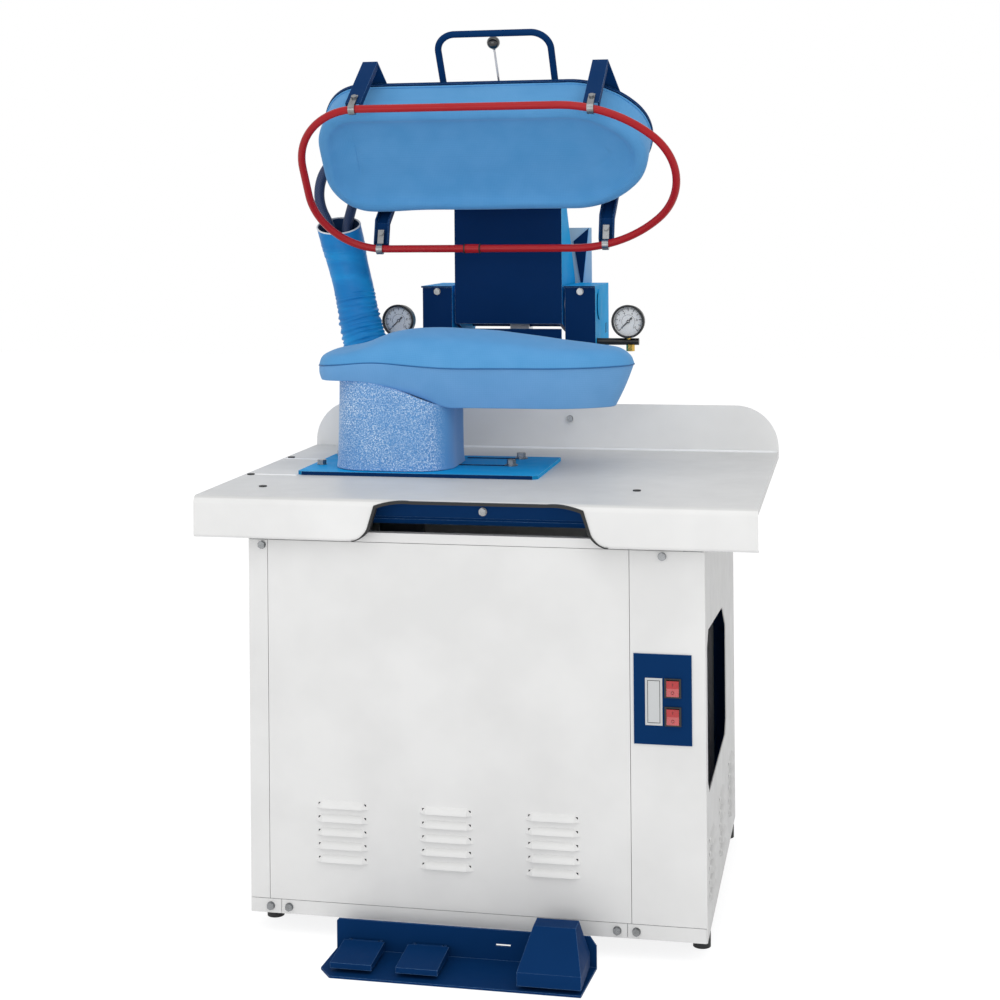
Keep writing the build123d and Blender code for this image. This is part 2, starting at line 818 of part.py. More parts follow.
def control_plate():
    """Blue control plate on the column, with both switch bezels' openings."""
    x0 = half_cabinet - column_width / 2 - plate_width / 2 - 9.5
    plate = block(x0, x0 + plate_width, -plate_thick, 0, plate_bottom, plate_top)
    for level in switch_levels:
        plate -= switch_hole(level, -plate_thick - 1, 1)
    save("control_plate", plate)


def legend_plate():
    """Bare plate beside the switches, in its own thin frame."""
    x0, x1 = switch_x - 51.5, switch_x - 19.5
    z0, z1 = switch_levels[0] - 17.5, switch_levels[1] + 17.5
    y = -plate_thick
    plate = block(x0, x1, y - 1.2, y, z0, z1)
    save("legend_plate", plate - block(x0 + 2, x1 - 2, y - 2, y - 0.7, z0 + 2, z1 - 2))


def rocker_pivot_y():
    """Depth of the rocker's pivot behind the bezel face."""
    return -plate_thick - 1.0


def switch_housings():
    """Black bezels and boxes round the two rockers, with their pivot pins."""
    housings = []
    for level in switch_levels:
        front = -plate_thick - 3
        bezel = block(switch_x - switch_width / 2, switch_x + switch_width / 2, front, -plate_thick,
                      level - switch_height / 2, level + switch_height / 2)
        box = switch_hole(level, -plate_thick, 26)
        half_x, half_z = rocker_width / 2 + 0.4, rocker_height / 2 + 0.9
        well = block(switch_x - half_x, switch_x + half_x, front - 1, 12, level - half_z, level + half_z)
        pin = round_bar((switch_x - rocker_width / 2 - 1, rocker_pivot_y(), level), (1, 0, 0),
                        rocker_pin_radius, rocker_width + 2)
        housings.append(bezel + box - well + pin)
    save("switch_housings", *housings)


def rocker(name, level):
    """A rocker key with a shallow V face, bored for its pin."""
    y, half = rocker_pivot_y(), rocker_height / 2
    back = y + rocker_depth - 3
    outline = [(y - 5.5, level - half), (y - 3.6, level), (y - 5.5, level + half),
               (y + 2.0, level + half - 1.6), (back, level + 4), (back, level - 4),
               (y + 2.0, level - half + 1.6)]
    key = prism_x(outline, switch_x - rocker_width / 2, switch_x + rocker_width / 2)
    key -= round_bar((switch_x - rocker_width, y, level), (1, 0, 0), rocker_pin_radius + running_clearance,
                     2 * rocker_width)
    save(name, key)


def buck_base_plate():
    """Clamped base plate with its two setting slots and the welded steel column."""
    c = base_plate_corner
    x0, x1, y0, y1 = plate_left, plate_right, plate_front_y, plate_rear_y
    outline = [(x0 + c, y0), (x1 - c, y0), (x1, y0 + c), (x1, y1 - c / 3), (x1 - c / 3, y1),
               (x0 + c, y1), (x0, y1 - c), (x0, y0 + c)]
    plate = prism_z(outline, table_height, plate_top_z)
    for level in slot_levels:
        x = slot_right - slot_width / 2
        left = x - slot_length + slot_width
        cut = block(left, x, level - slot_width / 2, level + slot_width / 2, table_height - 1,
                    plate_top_z + 1)
        for end in (left, x):
            cut += round_bar((end, level, table_height - 1), (0, 0, 1), slot_width / 2, base_plate_thick + 2)
        plate -= cut
    top = buck_bottom - 2
    column = round_bar((pedestal_x, press_y, plate_top_z), (0, 0, 1), column_radius, top - plate_top_z)
    flange = round_bar((pedestal_x, press_y, top - 10), (0, 0, 1), column_radius + 20, 12)
    bore = round_bar((pedestal_x, press_y, table_height - 1), (0, 0, 1), duct_radius,
                     buck_bottom - table_height + 2)
    wide = round_bar((pedestal_x, press_y, plate_top_z), (0, 0, 1), column_radius - column_wall,
                     top - plate_top_z)
    save("buck_base_plate", plate + column + flange - bore - wide)


def buck_form():
    """The boat-shaped underside of the buck, shallower at its left end."""
    low_oval = replace(buck_oval.grown(-buck_inset), left=buck_left + buck_left_inset)
    boat = Solid.make_loft([low_oval.wire(buck_bottom), buck_oval.wire(buck_seam)], ruled=True)
    return boat - keel_cut()


def keel_cut():
    """Everything below the buck's keel: level on the right, rising towards the left end."""
    rise = buck_bottom + keel_left_rise
    low = table_height
    cut = [(buck_left - 10, low), (buck_left - 10, rise), (keel_left_x, rise),
           (keel_level_x, buck_bottom), (buck_tip, buck_bottom), (buck_tip, low)]
    return prism_y(cut, press_y - 2 * buck_half, press_y + 2 * buck_half)


def buck_pad_form():
    """Crowned pad: highest above the pedestal and falling away to both ends."""
    sections = []
    y0, y1 = press_y - buck_half - 12, press_y + buck_half + 12
    base = buck_seam - 30
    for x, top in crown_line:
        edge = buck_seam + (top - buck_seam) * crown_edge_share
        edges = [Edge.make_line((x, y1, edge), (x, y1, base)), Edge.make_line((x, y1, base), (x, y0, base)),
                 Edge.make_line((x, y0, base), (x, y0, edge)),
                 Edge.make_three_point_arc((x, y0, edge), (x, press_y, top), (x, y1, edge))]
        sections.append(Wire(edges))
    crown = Solid.make_loft(sections)
    top = max(z for _, z in crown_line) + 8
    wall = Solid.make_loft([buck_oval.wire(buck_seam), buck_oval.grown(-5).wire(buck_seam + 20),
                            buck_oval.grown(-crown_inset).wire(top)], ruled=True)
    return wall & crown


def pedestal_cover_form():
    """Padded sleeve round the column, tapering upwards and cut off along the keel."""
    def ring(depth, z):
        half_x, half_y, r = pedestal_width / 2, depth / 2, pedestal_corner
        sketch = Plane(origin=(pedestal_x, press_y, z)) * RectangleRounded(2 * half_x, 2 * half_y, r)
        return sketch.face().outer_wire()

    top = buck_seam - 14
    cover = Solid.make_loft([ring(pedestal_width, plate_top_z), ring(pedestal_top_depth, top)],
                            ruled=True)
    core = round_bar((pedestal_x, press_y, plate_top_z - 1), (0, 0, 1), column_radius + 21,
                     top - plate_top_z + 2)
    return (cover & keel_cut()) - core


def lower_buck():
    """Buck body, crowned pad and the pedestal's cover."""
    save("buck_body", buck_form())
    save("buck_pad", buck_pad_form())
    save("pedestal_cover", pedestal_cover_form())


def upright(name, x0, slotted):
    """Folded box column with its top cap, bored for the pivot shaft."""
    x1, y0, y1 = x0 + upright_width, tower_front, tower_rear
    t = upright_sheet
    column = block(x0, x1, y0, y1, sill_top, tower_top)
    column -= block(x0 + t, x1 - t, y0 + t, y1 - t, sill_top - 1, tower_top + 1)
    column += block(x0 - cap_lip, x1, y0 - cap_lip, y1, tower_top, tower_top + cap_thick)
    column -= round_bar((x0 - 1, pivot_y, pivot_z), (1, 0, 0), shaft_radius + 4, upright_width + 2)
    if slotted:
        for y in (tower_rear - 60, tower_rear - 36):
            high = tower_top - upright_slot_drop
            column -= block(x1 - t - 1, x1 + 1, y, y + 8, high - upright_slot_height, high)
    save(name, column)


def pivot_bearings():
    """Flanged bearings in the outer and inner walls of both uprights."""
    rings = []
    for x0 in (left_upright_x, right_upright_x):
        start = x0 + (upright_width - bearing_width) / 2
        body = round_bar((start, pivot_y, pivot_z), (1, 0, 0), bearing_radius, bearing_width)
        feet = block(x0 + upright_sheet, x0 + upright_width - upright_sheet, pivot_y - 18, pivot_y + 18,
                     pivot_z - bearing_radius - 8, pivot_z - bearing_radius + 8)
        bore = round_bar((x0, pivot_y, pivot_z), (1, 0, 0), shaft_radius + running_clearance,
                         upright_width)
        rings.append(body + feet - bore)
    save("pivot_bearings", *rings)


def tower_plates():
    """Cross plate between the uprights and the bracket under the cylinder."""
    x0, x1 = left_upright_x + upright_width, right_upright_x
    y0 = tower_front + 2
    panel = block(x0, x1 - cross_plate_gap, y0, y0 + cross_plate_thick, cross_plate_bottom, cross_plate_top)
    y1, y2, z1 = tower_rear - 119, tower_rear - 4, barrel_bottom - bracket_thick
    shelf = block(x0, x1, y1, y2, z1, barrel_bottom)
    for x in (x0, x1 - 10):
        shelf += prism_x([(y1, z1), (y2, z1 - 80), (y2, z1)], x, x + 10)
    cap = tower_top + cap_thick
    right = right_upright_x
    stay = prism_y([(right - 14, guard_top - 33), (right + 24, guard_top - 1), (right + 9, cap),
                    (right + 3, cap)], tower_rear - 4, tower_rear)
    save("tower_plates", panel, shelf, stay)


def tower_rear_guard():
    """Guard plate behind the moving tail of the arm."""
    x0 = press_x - guard_width / 2
    guard = block(x0, x0 + guard_width, tower_rear, tower_rear + sheet, guard_bottom, guard_top)
    save("tower_rear_guard", guard)


def tail_pin_place():
    """The tail pin's (y, z) in the open pose: as far below the pivot as it ends above it."""
    half = math.radians(open_angle / 2)
    return pivot_y + lever_radius * math.cos(half), pivot_z - lever_radius * math.sin(half)


def cylinder_y():
    """The cylinder stands midway between the ends of the tail pin's small sideways travel."""
    half = math.radians(open_angle / 2)
    return pivot_y + lever_radius * (1 + math.cos(half)) / 2


def air_cylinder():
    """Barrel with end caps on the bracket, and the piston rod with its slotted yoke."""
    y = cylinder_y()
    base = barrel_bottom
    outer = cylinder_bore + barrel_wall
    half = outer + 4
    barrel = round_bar((press_x, y, base), (0, 0, 1), outer, barrel_top - base)
    for z0 in (base, barrel_top - end_cap):
        barrel += block(press_x - half, press_x + half, y - half, y + half, z0, z0 + end_cap)
    barrel -= round_bar((press_x, y, base + end_cap), (0, 0, 1), cylinder_bore,
                        barrel_top - base - 2 * end_cap)
    barrel -= round_bar((press_x, y, barrel_top - end_cap - 1), (0, 0, 1), rod_radius + running_clearance,
                        end_cap + 2)
    save("cylinder_barrel", barrel)

    _, pin_z = tail_pin_place()
    shift = lever_radius * (1 - math.cos(math.radians(open_angle / 2))) / 2
    slot_half = tail_pin_radius + yoke_play
    low = base + end_cap + 12
    yoke_low, yoke_high = pin_z - slot_half - 24, pin_z + slot_half + 12
    yoke_depth = shift + tail_pin_radius + 2 + 10
    rod = round_bar((press_x, y, low), (0, 0, 1), cylinder_bore - running_clearance, piston_length)
    rod += round_bar((press_x, y, low), (0, 0, 1), rod_radius, yoke_low - low)
    yoke = block(press_x - yoke_width / 2, press_x + yoke_width / 2, y - yoke_depth, y + yoke_depth,
                 yoke_low, yoke_high)
    reach = shift + tail_pin_radius + 2
    slot = block(press_x - yoke_width, press_x + yoke_width, y - reach, y + reach, pin_z - slot_half,
                 pin_z + slot_half)
    save("piston_rod", rod + (yoke - slot))


def arm_profile():
    """The (y, z) outline of the arm's side plates with the head open."""
    pin_y, pin_z = tail_pin_place()
    back = back_top - pivot_z
    turn = math.radians(-open_angle)

    def from_closed(y, z):
        dy, dz = y - pivot_y, z - pivot_z
        return (pivot_y + dy * math.cos(turn) - dz * math.sin(turn),
                pivot_z + dy * math.sin(turn) + dz * math.cos(turn))

    plate_rear = from_closed(press_y + head_half, pivot_z + back)
    nose_low = from_closed(press_y - 76, pivot_z + back)
    nose_high = from_closed(press_y - 76, pivot_z + back + 26)
    shoulder = from_closed(press_y + 8, arm_top)
    crest = from_closed(669.0, arm_top + 3)
    return [(tower_front, pivot_z - 43), (tower_front, pivot_z + 257), plate_rear, nose_low, nose_high,
            shoulder, crest, (pivot_y + 135, pivot_z + 52), (pivot_y + 135, pin_z - 4),
            (pin_y + 12, pin_z - 28), (pin_y - 20, pin_z - 28), (pivot_y, pivot_z - 60)]


def inner_outline(outline, steps):
    """The polygon whose edges lie inside those of outline by steps, or outside where negative."""
    lines = []
    for start, end, step in zip(outline, outline[1:] + outline[:1], steps):
        dy, dz = end[0] - start[0], end[1] - start[1]
        length = math.hypot(dy, dz)
        ny, nz = dz / length, -dy / length
        lines.append((ny, nz, ny * start[0] + nz * start[1] + step))
    points = []
    for (a, b, c), (d, e, f) in zip(lines[-1:] + lines[:-1], lines):
        det = a * e - b * d
        points.append(((c * e - b * f) / det, (a * f - c * d) / det))
    return points


def head_arm():
    """Goose-neck box arm: a welded shell open at its nose and underside, pivot tube and tail pin."""
    x0, x1 = press_x - arm_width / 2, press_x + arm_width / 2
    profile = arm_profile()
    steps = [arm_skin] * len(profile)
    for k in (3, 7, 8, 9, 10, 11):
        steps[k] = -arm_skin
    arm = prism_x(profile, x0, x1)
    arm -= prism_x(inner_outline(profile, steps), x0 + arm_side, x1 - arm_side)
    arm += round_bar((x0, pivot_y, pivot_z), (1, 0, 0), shaft_radius + 12, arm_width)
    arm -= round_bar((x0 - 1, pivot_y, pivot_z), (1, 0, 0), shaft_radius, arm_width + 2)
    pin_y, pin_z = tail_pin_place()
    arm += round_bar((x0, pin_y, pin_z), (1, 0, 0), tail_pin_radius, arm_width)
    save("head_arm", arm)
    end = upright_width - 6
    shaft = round_bar((x0 - 7 - end, pivot_y, pivot_z), (1, 0, 0), shaft_radius, arm_width + 14 + 2 * end)
    save("pivot_shaft", shaft)


def bracket_places():
    """The x and side (-1 front, 1 rear) of each of the four bar brackets."""
    return [(x, side) for x in (press_x - bracket_offset, press_x + bracket_offset) for side in (-1, 1)]


def bar_run_y(x, side):
    """The y of the safety bar's front or rear run at x."""
    return press_y + side * bar_oval.reach(x)


def guide_y(side):
    """The y of a bracket's guide stud on the back plate."""
    return press_y + side * (head_half - guide_inset)


def head_back_plate():
    """Back plate of the head with the four guide studs of the safety bar."""
    plate = head_oval.grown(back_plate_proud).slab(head_top, back_top)
    leg_low = back_top + guide_block
    cap_z = leg_low + bracket_sheet + buffer_length
    for x, side in bracket_places():
        y = guide_y(side)
        plate += block(x - 15, x + 15, y - 13, y + 13, back_top, leg_low)
        plate += round_bar((x, y, back_top), (0, 0, 1), guide_radius, cap_z + 5 - back_top)
        plate += round_bar((x, y, cap_z), (0, 0, 1), buffer_radius, 5)
    save("head_back_plate", opened(plate))


def head_shell():
    """Heated casting behind the pad."""
    shell = head_oval.grown(-shell_inset).slab(head_top - shell_height, head_top)
    save("head_shell", opened(shell))


def head_pad():
    """Padded cover of the head: rolled rim and dished face, wrapped round the casting."""
    pad = head_oval.slab(head_rim, head_top)
    rim = pad.faces().sort_by(Axis.Z)[0].edges()
    pad = fillet(rim, head_edge_round)
    mouth = head_oval.grown(-dish_inset).wire(head_rim - 0.01)
    floor = head_oval.grown(-dish_inset - dish_slope).wire(head_rim + dish_depth)
    pad -= Solid.make_loft([mouth, floor], ruled=True)
    pad -= head_oval.grown(-shell_inset).slab(head_top - shell_height, head_top + 1)
    save("head_pad", opened(pad))


def bent_tube(points, radii, radius):
    """A round tube swept along straight runs joined by arcs."""
    path = FilletPolyline(*points, radius=radii)
    start = path @ 0
    profile = Plane(origin=start, z_dir=path % 0) * Circle(radius)
    return sweep(profile, path=path)


def handle():
    """Bent tube handle lying on the back plate's front edge."""
    x0, x1 = handle_x - handle_half, handle_x + handle_half
    z = back_top + handle_radius
    y_out = press_y - head_half - handle_reach + handle_radius
    y_in = press_y - head_half + handle_tail
    tube_solid = bent_tube([(x0, y_in, z), (x0, y_out, z), (x1, y_out, z), (x1, y_in, z)],
                           handle_corner, handle_radius)
    for x in (x0, x1):
        tube_solid += block(x - 9, x + 9, y_in - 34, y_in - 4, back_top, z)
    save("handle", opened(tube_solid))


def union_axis(place):
    """A head union's centre and outlet direction with the head closed."""
    x, y, turn = place
    angle = math.radians(turn)
    return (x, y, back_top + hose_union_height), (-math.sin(angle), math.cos(angle), 0.0)


def head_fittings():
    """Steam valve and the two hose unions, all on the head's back plate."""
    y = press_y - head_half + 22
    z = back_top
    valve = round_bar((lever_x, y, z), (0, 0, 1), 16.0, 14.0)
    valve += block(lever_x - 11, lever_x + 11, y, press_y - 76, z, z + 14)
    valve += round_bar((lever_x, y, z), (0, 0, 1), 5.0, 32.0)
    unions = []
    for place in union_places:
        centre, outlet = union_axis(place)
        x, y, _ = place
        base = round_bar((x, y, z), (0, 0, 1), hose_union_radius + 3, hose_union_height)
        unions.append(opened(base + round_bar(centre, outlet, hose_union_radius - 0.5, hose_union_length)))
    save("head_fittings", opened(valve), *unions)


def steam_lever():
    """Lever of the steam valve, with a ball knob."""
    y = press_y - head_half + 22
    z = back_top
    hub = round_bar((lever_x, y, z + 14.5), (0, 0, 1), lever_hub_radius, 12.0)
    hub -= round_bar((lever_x, y, z), (0, 0, 1), 5.0 + running_clearance, 40.0)
    stick = round_bar((lever_x, y - lever_hub_radius + 1, z + 20.5), (0, -1, 0), lever_radius_rod,
                      lever_length - lever_hub_radius)
    knob = Pos(lever_x, y - lever_length, z + 20.5) * Sphere(knob_radius)
    save("steam_lever", opened(hub + stick + knob))


def span(a, b):
    """Two bounds in rising order."""
    return (a, b) if a < b else (b, a)


def bracket_knee(x):
    """The outer y of a rear bracket above its knee, and the (y, z) of its lower end and its knee."""
    reach = max(head_oval.reach(x - bracket_width / 2), head_oval.reach(x + bracket_width / 2))
    outer = press_y + reach + bracket_gap + bracket_section
    start = (bar_run_y(x, 1) + bracket_section / 2, bar_z + bar_radius + 4.5)
    return outer, start, (outer, head_rim - bracket_knee_drop)


def bar_bracket(x, side):
    """Folded channel from the safety bar over the head's edge to its guide stud."""
    half, s, t = bracket_width / 2, bracket_section, bracket_sheet
    face = bar_run_y(x, side) + side * bar_radius
    end = guide_y(side) - side * 16
    low = bar_z + bar_radius + 3
    top = back_top + guide_block + t
    if side < 0:
        inner = face - side * s
        shape = block(x - half, x + half, *span(face, inner), low, top)
        shape -= block(x - half + t, x + half - t, *span(face - side * t, inner - side), low - 1, top - t)
    else:
        face, start, knee = bracket_knee(x)
        inner = face - s
        web = [start, knee, (face, top), (inner, top), (inner, knee[1]), (start[0] - s, start[1])]
        cut = [(start[0] - t, start[1] - 1), (knee[0] - t, knee[1]), (face - t, top - t),
               (inner - 30, top - t), (inner - 30, knee[1]), (start[0] - s - 30, start[1] - 1)]
        shape = prism_x(web, x - half, x + half) - prism_x(cut, x - half + t, x + half - t)
    flare = half + (24 if side < 0 else 0)
    foot = prism_z([(x - half, face), (x + half, face), (x + flare, end), (x - half, end)], top - t, top)
    rib = block(x - half, x - half + t, *span(face, end), top - s, top)
    step = 12 if side < 0 else 0
    rib -= block(x - half - 1, x + half, *span(inner - side * step, end - side), top - s - 1, top - t)
    hole = round_bar((x, guide_y(side), top - t - 1), (0, 0, 1), guide_radius + guide_play, t + 2)
    return shape + foot + rib - hole


def clip_tab(x, side):
    """Tab of a tube clip with its screw, on the bracket's outer side in front and inner side behind."""
    low = bar_z + bar_radius + 3
    if side < 0:
        face = bar_run_y(x, side) - bar_radius
        tab = block(x - clip_width / 2, x + clip_width / 2, face - clip_wall, face, bar_z, low + 26)
        return tab + round_bar((x, face - clip_wall, low + 16), (0, -1, 0), 6.0, 4.0)
    _, start, knee = bracket_knee(x)
    length = math.hypot(knee[0] - start[0], knee[1] - start[1])
    dy, dz = (knee[0] - start[0]) / length, (knee[1] - start[1]) / length

    def at(along, out):
        return (start[0] - bracket_section + dy * along - dz * out,
                start[1] + dz * along + dy * out)

    tab = prism_x([at(-9, 0), at(clip_reach, 0), at(clip_reach, clip_wall), at(-9, clip_wall)],
                  x - clip_width / 2, x + clip_width / 2)
    y, z = at(clip_reach - 8, clip_wall)
    return tab + round_bar((x, y, z), (0, -dz, dy), 6.0, 4.0)


def safety_bar():
    """Red safety tube with its brackets and clips."""
    path = bar_oval.wire(bar_z)
    ring = sweep(Plane(origin=path @ 0, z_dir=path % 0) * Circle(bar_radius), path=path)
    x0, run = press_x - 60, bar_run_y(press_x, 1)
    sleeve = round_bar((x0, run, bar_z), (1, 0, 0), bar_radius + 1.5, 32)
    sleeve -= round_bar((x0 - 1, run, bar_z), (1, 0, 0), bar_radius, 34)
    save("safety_tube", opened(ring), opened(sleeve))

    brackets, clips, rubbers = [], [], []
    top = back_top + guide_block + bracket_sheet
    for x, side in bracket_places():
        run = bar_run_y(x, side)
        brackets.append(opened(bar_bracket(x, side)))
        band = round_bar((x - clip_width / 2, run, bar_z), (1, 0, 0), bar_radius + clip_wall, clip_width)
        clips.append(opened(band + clip_tab(x, side) - ring))
        buffer = round_bar((x, guide_y(side), top), (0, 0, 1), buffer_radius - 1,
                           buffer_length - bar_travel - 0.5)
        buffer -= round_bar((x, guide_y(side), back_top), (0, 0, 1), guide_radius + guide_play,
                            buffer_length + 30)
        rubbers.append(opened(buffer))
    run = bar_run_y(press_x, 1)
    for x in (x0 - 3, x0 + 32):
        band = round_bar((x, run, bar_z), (1, 0, 0), bar_radius + 2.5, 3)
        band -= round_bar((x - 1, run, bar_z), (1, 0, 0), bar_radius, 5)
        rubbers.append(opened(band))
    save("bar_brackets", *brackets)
    save("tube_clips", *clips)
    save("bar_rubbers", *rubbers)


def gauge_places():
    """The x of each gauge and the side of the tower it stands on."""
    right_side = right_upright_x + upright_width
    return (("left", left_upright_x - gauge_offset + 10, -1, left_upright_x),
            ("right", right_side + gauge_offset, 1, right_side))


def gauges():
    """Two pressure gauges on stub pipes from the tower's sides."""
    cases, dials, lenses, pipes, brass = [], [], [], [], []
    r, depth = gauge_radius, gauge_depth
    pipe_z = gauge_z - gauge_pipe_drop
    pipe_y = gauge_y + depth / 2
    for name, x, side, wall in gauge_places():
        case = round_bar((x, gauge_y, gauge_z), (0, 1, 0), r, depth)
        case -= round_bar((x, gauge_y - 1, gauge_z), (0, 1, 0), r - 3, 9)
        cases.append(case)
        dials.append(round_bar((x, gauge_y + 7, gauge_z), (0, 1, 0), r - 3, 1))
        lenses.append(round_bar((x, gauge_y + 1, gauge_z), (0, 1, 0), r - 3, 1.5))
        pin = round_bar((x, gauge_y + 3.4, gauge_z), (0, 1, 0), 1.5, 3.6)
        dials[-1] += pin
        start = min(wall, x + side * 24)
        pipes.append(round_bar((start, pipe_y, pipe_z), (1, 0, 0), gauge_pipe_radius,
                               abs(x + side * 24 - wall)))
        brass_stem = round_bar((x, pipe_y, pipe_z), (0, 0, 1), 6.0, gauge_z - r - pipe_z + 2)
        brass_stem -= round_bar((wall - 400, pipe_y, pipe_z), (1, 0, 0), gauge_pipe_radius, 800)
        brass_stem -= round_bar((x, gauge_y, gauge_z), (0, 1, 0), r, depth)
        brass.append(brass_stem)
        nut = hexagon(x + side * 4, pipe_y, pipe_z - gauge_pipe_radius - 14, (0, 0, 1), 17.0, 15.0)
        nut -= round_bar((wall - 400, pipe_y, pipe_z), (1, 0, 0), gauge_pipe_radius, 800)
        brass.append(nut)
        needle_out = [(-0.9, -9), (0.9, -9), (1.3, 0), (0.4, r - 12), (-0.4, r - 12), (-1.3, 0)]
        angle = math.radians(-135)
        c, n = math.cos(angle), math.sin(angle)
        outline = [(x + a * c + b * n, gauge_z - a * n + b * c) for a, b in needle_out]
        needle = prism_y(outline, gauge_y + 4.4, gauge_y + 5.2)
        needle += round_bar((x, gauge_y + 4.0, gauge_z), (0, 1, 0), 4.0, 1.6)
        needle -= round_bar((x, gauge_y, gauge_z), (0, 1, 0), 1.5 + running_clearance, 9)
        save(f"gauge_needle_{name}", needle)
    save("gauge_cases", *cases)
    save("gauge_dials", *dials)
    save("gauge_lenses", *lenses)
    save("gauge_pipes", *pipes)
    save("brass_fittings", *brass)


def route_points(x, straight, path):
    """A route's straight rise from its foot at x, and its points above."""
    foot = [(x, sleeve_y, table_height + rise) for rise in (0.0, straight)]
    return foot + [(px, tower_front - ahead, table_height + rise) for px, ahead, rise in path]


def corner_radii(points, share=0.45):
    """Fillet radii along a route: a share of the shorter run over the tangent of half the turn."""
    radii = []
    for a, b, c in zip(points, points[1:], points[2:]):
        first, second = Vector(*b) - Vector(*a), Vector(*c) - Vector(*b)
        turn = math.radians(first.get_angle(second))
        radii.append(share * min(first.length, second.length) / math.tan(turn / 2))
    return radii


def union_tip(place, beyond=0.0):
    """The open-pose point on a head union's outlet axis, at its tip or beyond it."""
    centre, outlet = union_axis(place)
    x, y, z = [c + (hose_union_length + beyond) * d for c, d in zip(centre, outlet)]
    turn = math.radians(-open_angle)
    dy, dz = y - pivot_y, z - pivot_z
    return (x, pivot_y + dy * math.cos(turn) - dz * math.sin(turn),
            pivot_z + dy * math.sin(turn) + dz * math.cos(turn))


def hoses():
    """The two hoses from the table's bulkhead plate up to the head's unions."""
    paths = (("steam_hose", steam_hose_path), ("suction_hose", suction_hose_path))
    for (name, path), x, place, lead in zip(paths, hose_foot_x, union_places, union_leads):
        rise = route_points(x, hose_straight, path)[1:]
        route = [(x, sleeve_y, hose_foot_top), *rise, union_tip(place, lead), union_tip(place)]
        save(name, bent_tube(route, corner_radii(route), hose_radius))
    plate = round_bar((sleeve_x, sleeve_y, table_height), (0, 0, 1),
                      sleeve_radius - sleeve_wall - 1, 4)
    for x in hose_foot_x:
        low = table_under - 40
        plate += round_bar((x, sleeve_y, low), (0, 0, 1), hose_radius, hose_foot_top - low)
        plate += round_bar((x, sleeve_y, table_height), (0, 0, 1), hose_union_radius - 0.5, 24)
    save("hose_bulkhead", plate)


def hose_sleeve():
    """Fabric sleeve round both hoses, standing on the table, its open rim cut at a slant."""
    route = route_points(sleeve_x, sleeve_straight, sleeve_path)
    radii = corner_radii(route)
    sleeve = bent_tube(route, radii, sleeve_radius)
    sleeve -= bent_tube(route, radii, sleeve_radius - sleeve_wall)
    x, rim_y, _ = route[-1]
    reach, clear = 2 * sleeve_radius, 4 * sleeve_radius
    middle = (sleeve_rim_front + sleeve_rim_rear) / 2
    slant = sleeve_rim_slant * reach / (2 * sleeve_radius)
    outline = [(rim_y - reach, middle - slant), (rim_y + reach, middle + slant),
               (rim_y + reach, middle + clear), (rim_y - reach, middle + clear)]
    save("hose_sleeve", sleeve - prism_x(outline, x - clear, x + clear))


def boiler():
    """Black jacketed steam boiler on three legs with its dished top."""
    tall = boiler_top - boiler_bottom
    body = round_bar((boiler_x, boiler_y, boiler_bottom), (0, 0, 1), boiler_radius, tall)
    body = fillet(body.edges().sort_by(Axis.Z)[-1], 40.0)
    side, level = boiler_x - boiler_radius - 8, boiler_bottom + boiler_flange_rise
    flange = round_bar((side, boiler_y, level), (1, 0, 0), 62.0, 40)
    for turn in (30, 150, 270):
        angle = math.radians(turn)
        x = boiler_x + (boiler_radius - 30) * math.cos(angle)
        y = boiler_y + (boiler_radius - 30) * math.sin(angle)
        foot = sill_top + sheet
        body += round_bar((x, y, foot), (0, 0, 1), boiler_leg, boiler_bottom - foot + 5)
    save("boiler", body + flange)


def vacuum_fan():
    """Suction fan on its motor, with the duct up to the pedestal."""
    base = sill_top + sheet
    motor = round_bar((pedestal_x, press_y, base), (0, 0, 1), motor_radius, fan_bottom - base)
    casing = round_bar((pedestal_x, press_y, fan_bottom), (0, 0, 1), fan_radius, fan_height)
    outlet = block(pedestal_x - fan_radius, pedestal_x - fan_radius + 90, press_y, press_y + 200,
                   fan_bottom + 10, fan_bottom + fan_height - 10)
    duct = round_bar((pedestal_x, press_y, fan_bottom + fan_height), (0, 0, 1), duct_radius - 1,
                     table_under - fan_bottom - fan_height)
    save("vacuum_fan", motor + casing + outlet + duct)


def feed_group():
    """Condensate tank and feed pump on the floor tray."""
    base = sill_top + sheet
    tank = block(tank_x - tank_width / 2, tank_x + tank_width / 2, tank_y - tank_depth / 2,
                 tank_y + tank_depth / 2, base, base + tank_height)
    tank = fillet(tank.edges().filter_by(Axis.Z), 14.0)
    tank += round_bar((tank_x, tank_y, base + tank_height), (0, 0, 1), 28.0, 16.0)
    save("condensate_tank", tank)
    z = base + pump_radius + 10
    pump = round_bar((pump_x - pump_length / 2, pump_y, z), (1, 0, 0), pump_radius, pump_length)
    pump += round_bar((pump_x + pump_length / 2, pump_y, z), (1, 0, 0), pump_radius + 8, 34)
    pump += block(pump_x - 60, pump_x + 60, pump_y - pump_radius, pump_y + pump_radius, base, z - 20)
    save("feed_pump", pump)


def service_points():
    """Rear connections as (x, z, bore radius, length): air, water, drain."""
    left = [(inset - half_cabinet, *rest) for inset, *rest in (air_inlet, water_inlet)]
    return (*left, (half_cabinet - drain_outlet[0], *drain_outlet[1:]))


def service_fittings():
    """Threaded sockets through the rear panel, and the cable gland."""
    sockets = []
    for x, z, radius, length in service_points():
        start = cabinet_depth - sheet - 8
        socket = round_bar((x, start, z), (0, 1, 0), radius + 3, length)
        socket += hexagon(x, cabinet_depth, z, (0, 1, 0), 2 * radius + 12, 6.0)
        socket += hexagon(x, cabinet_depth - sheet - 6, z, (0, 1, 0), 2 * radius + 12, 6.0)
        socket -= round_bar((x, start - 1, z), (0, 1, 0), radius, length + 2)
        sockets.append(socket)
    save("service_fittings", *sockets)


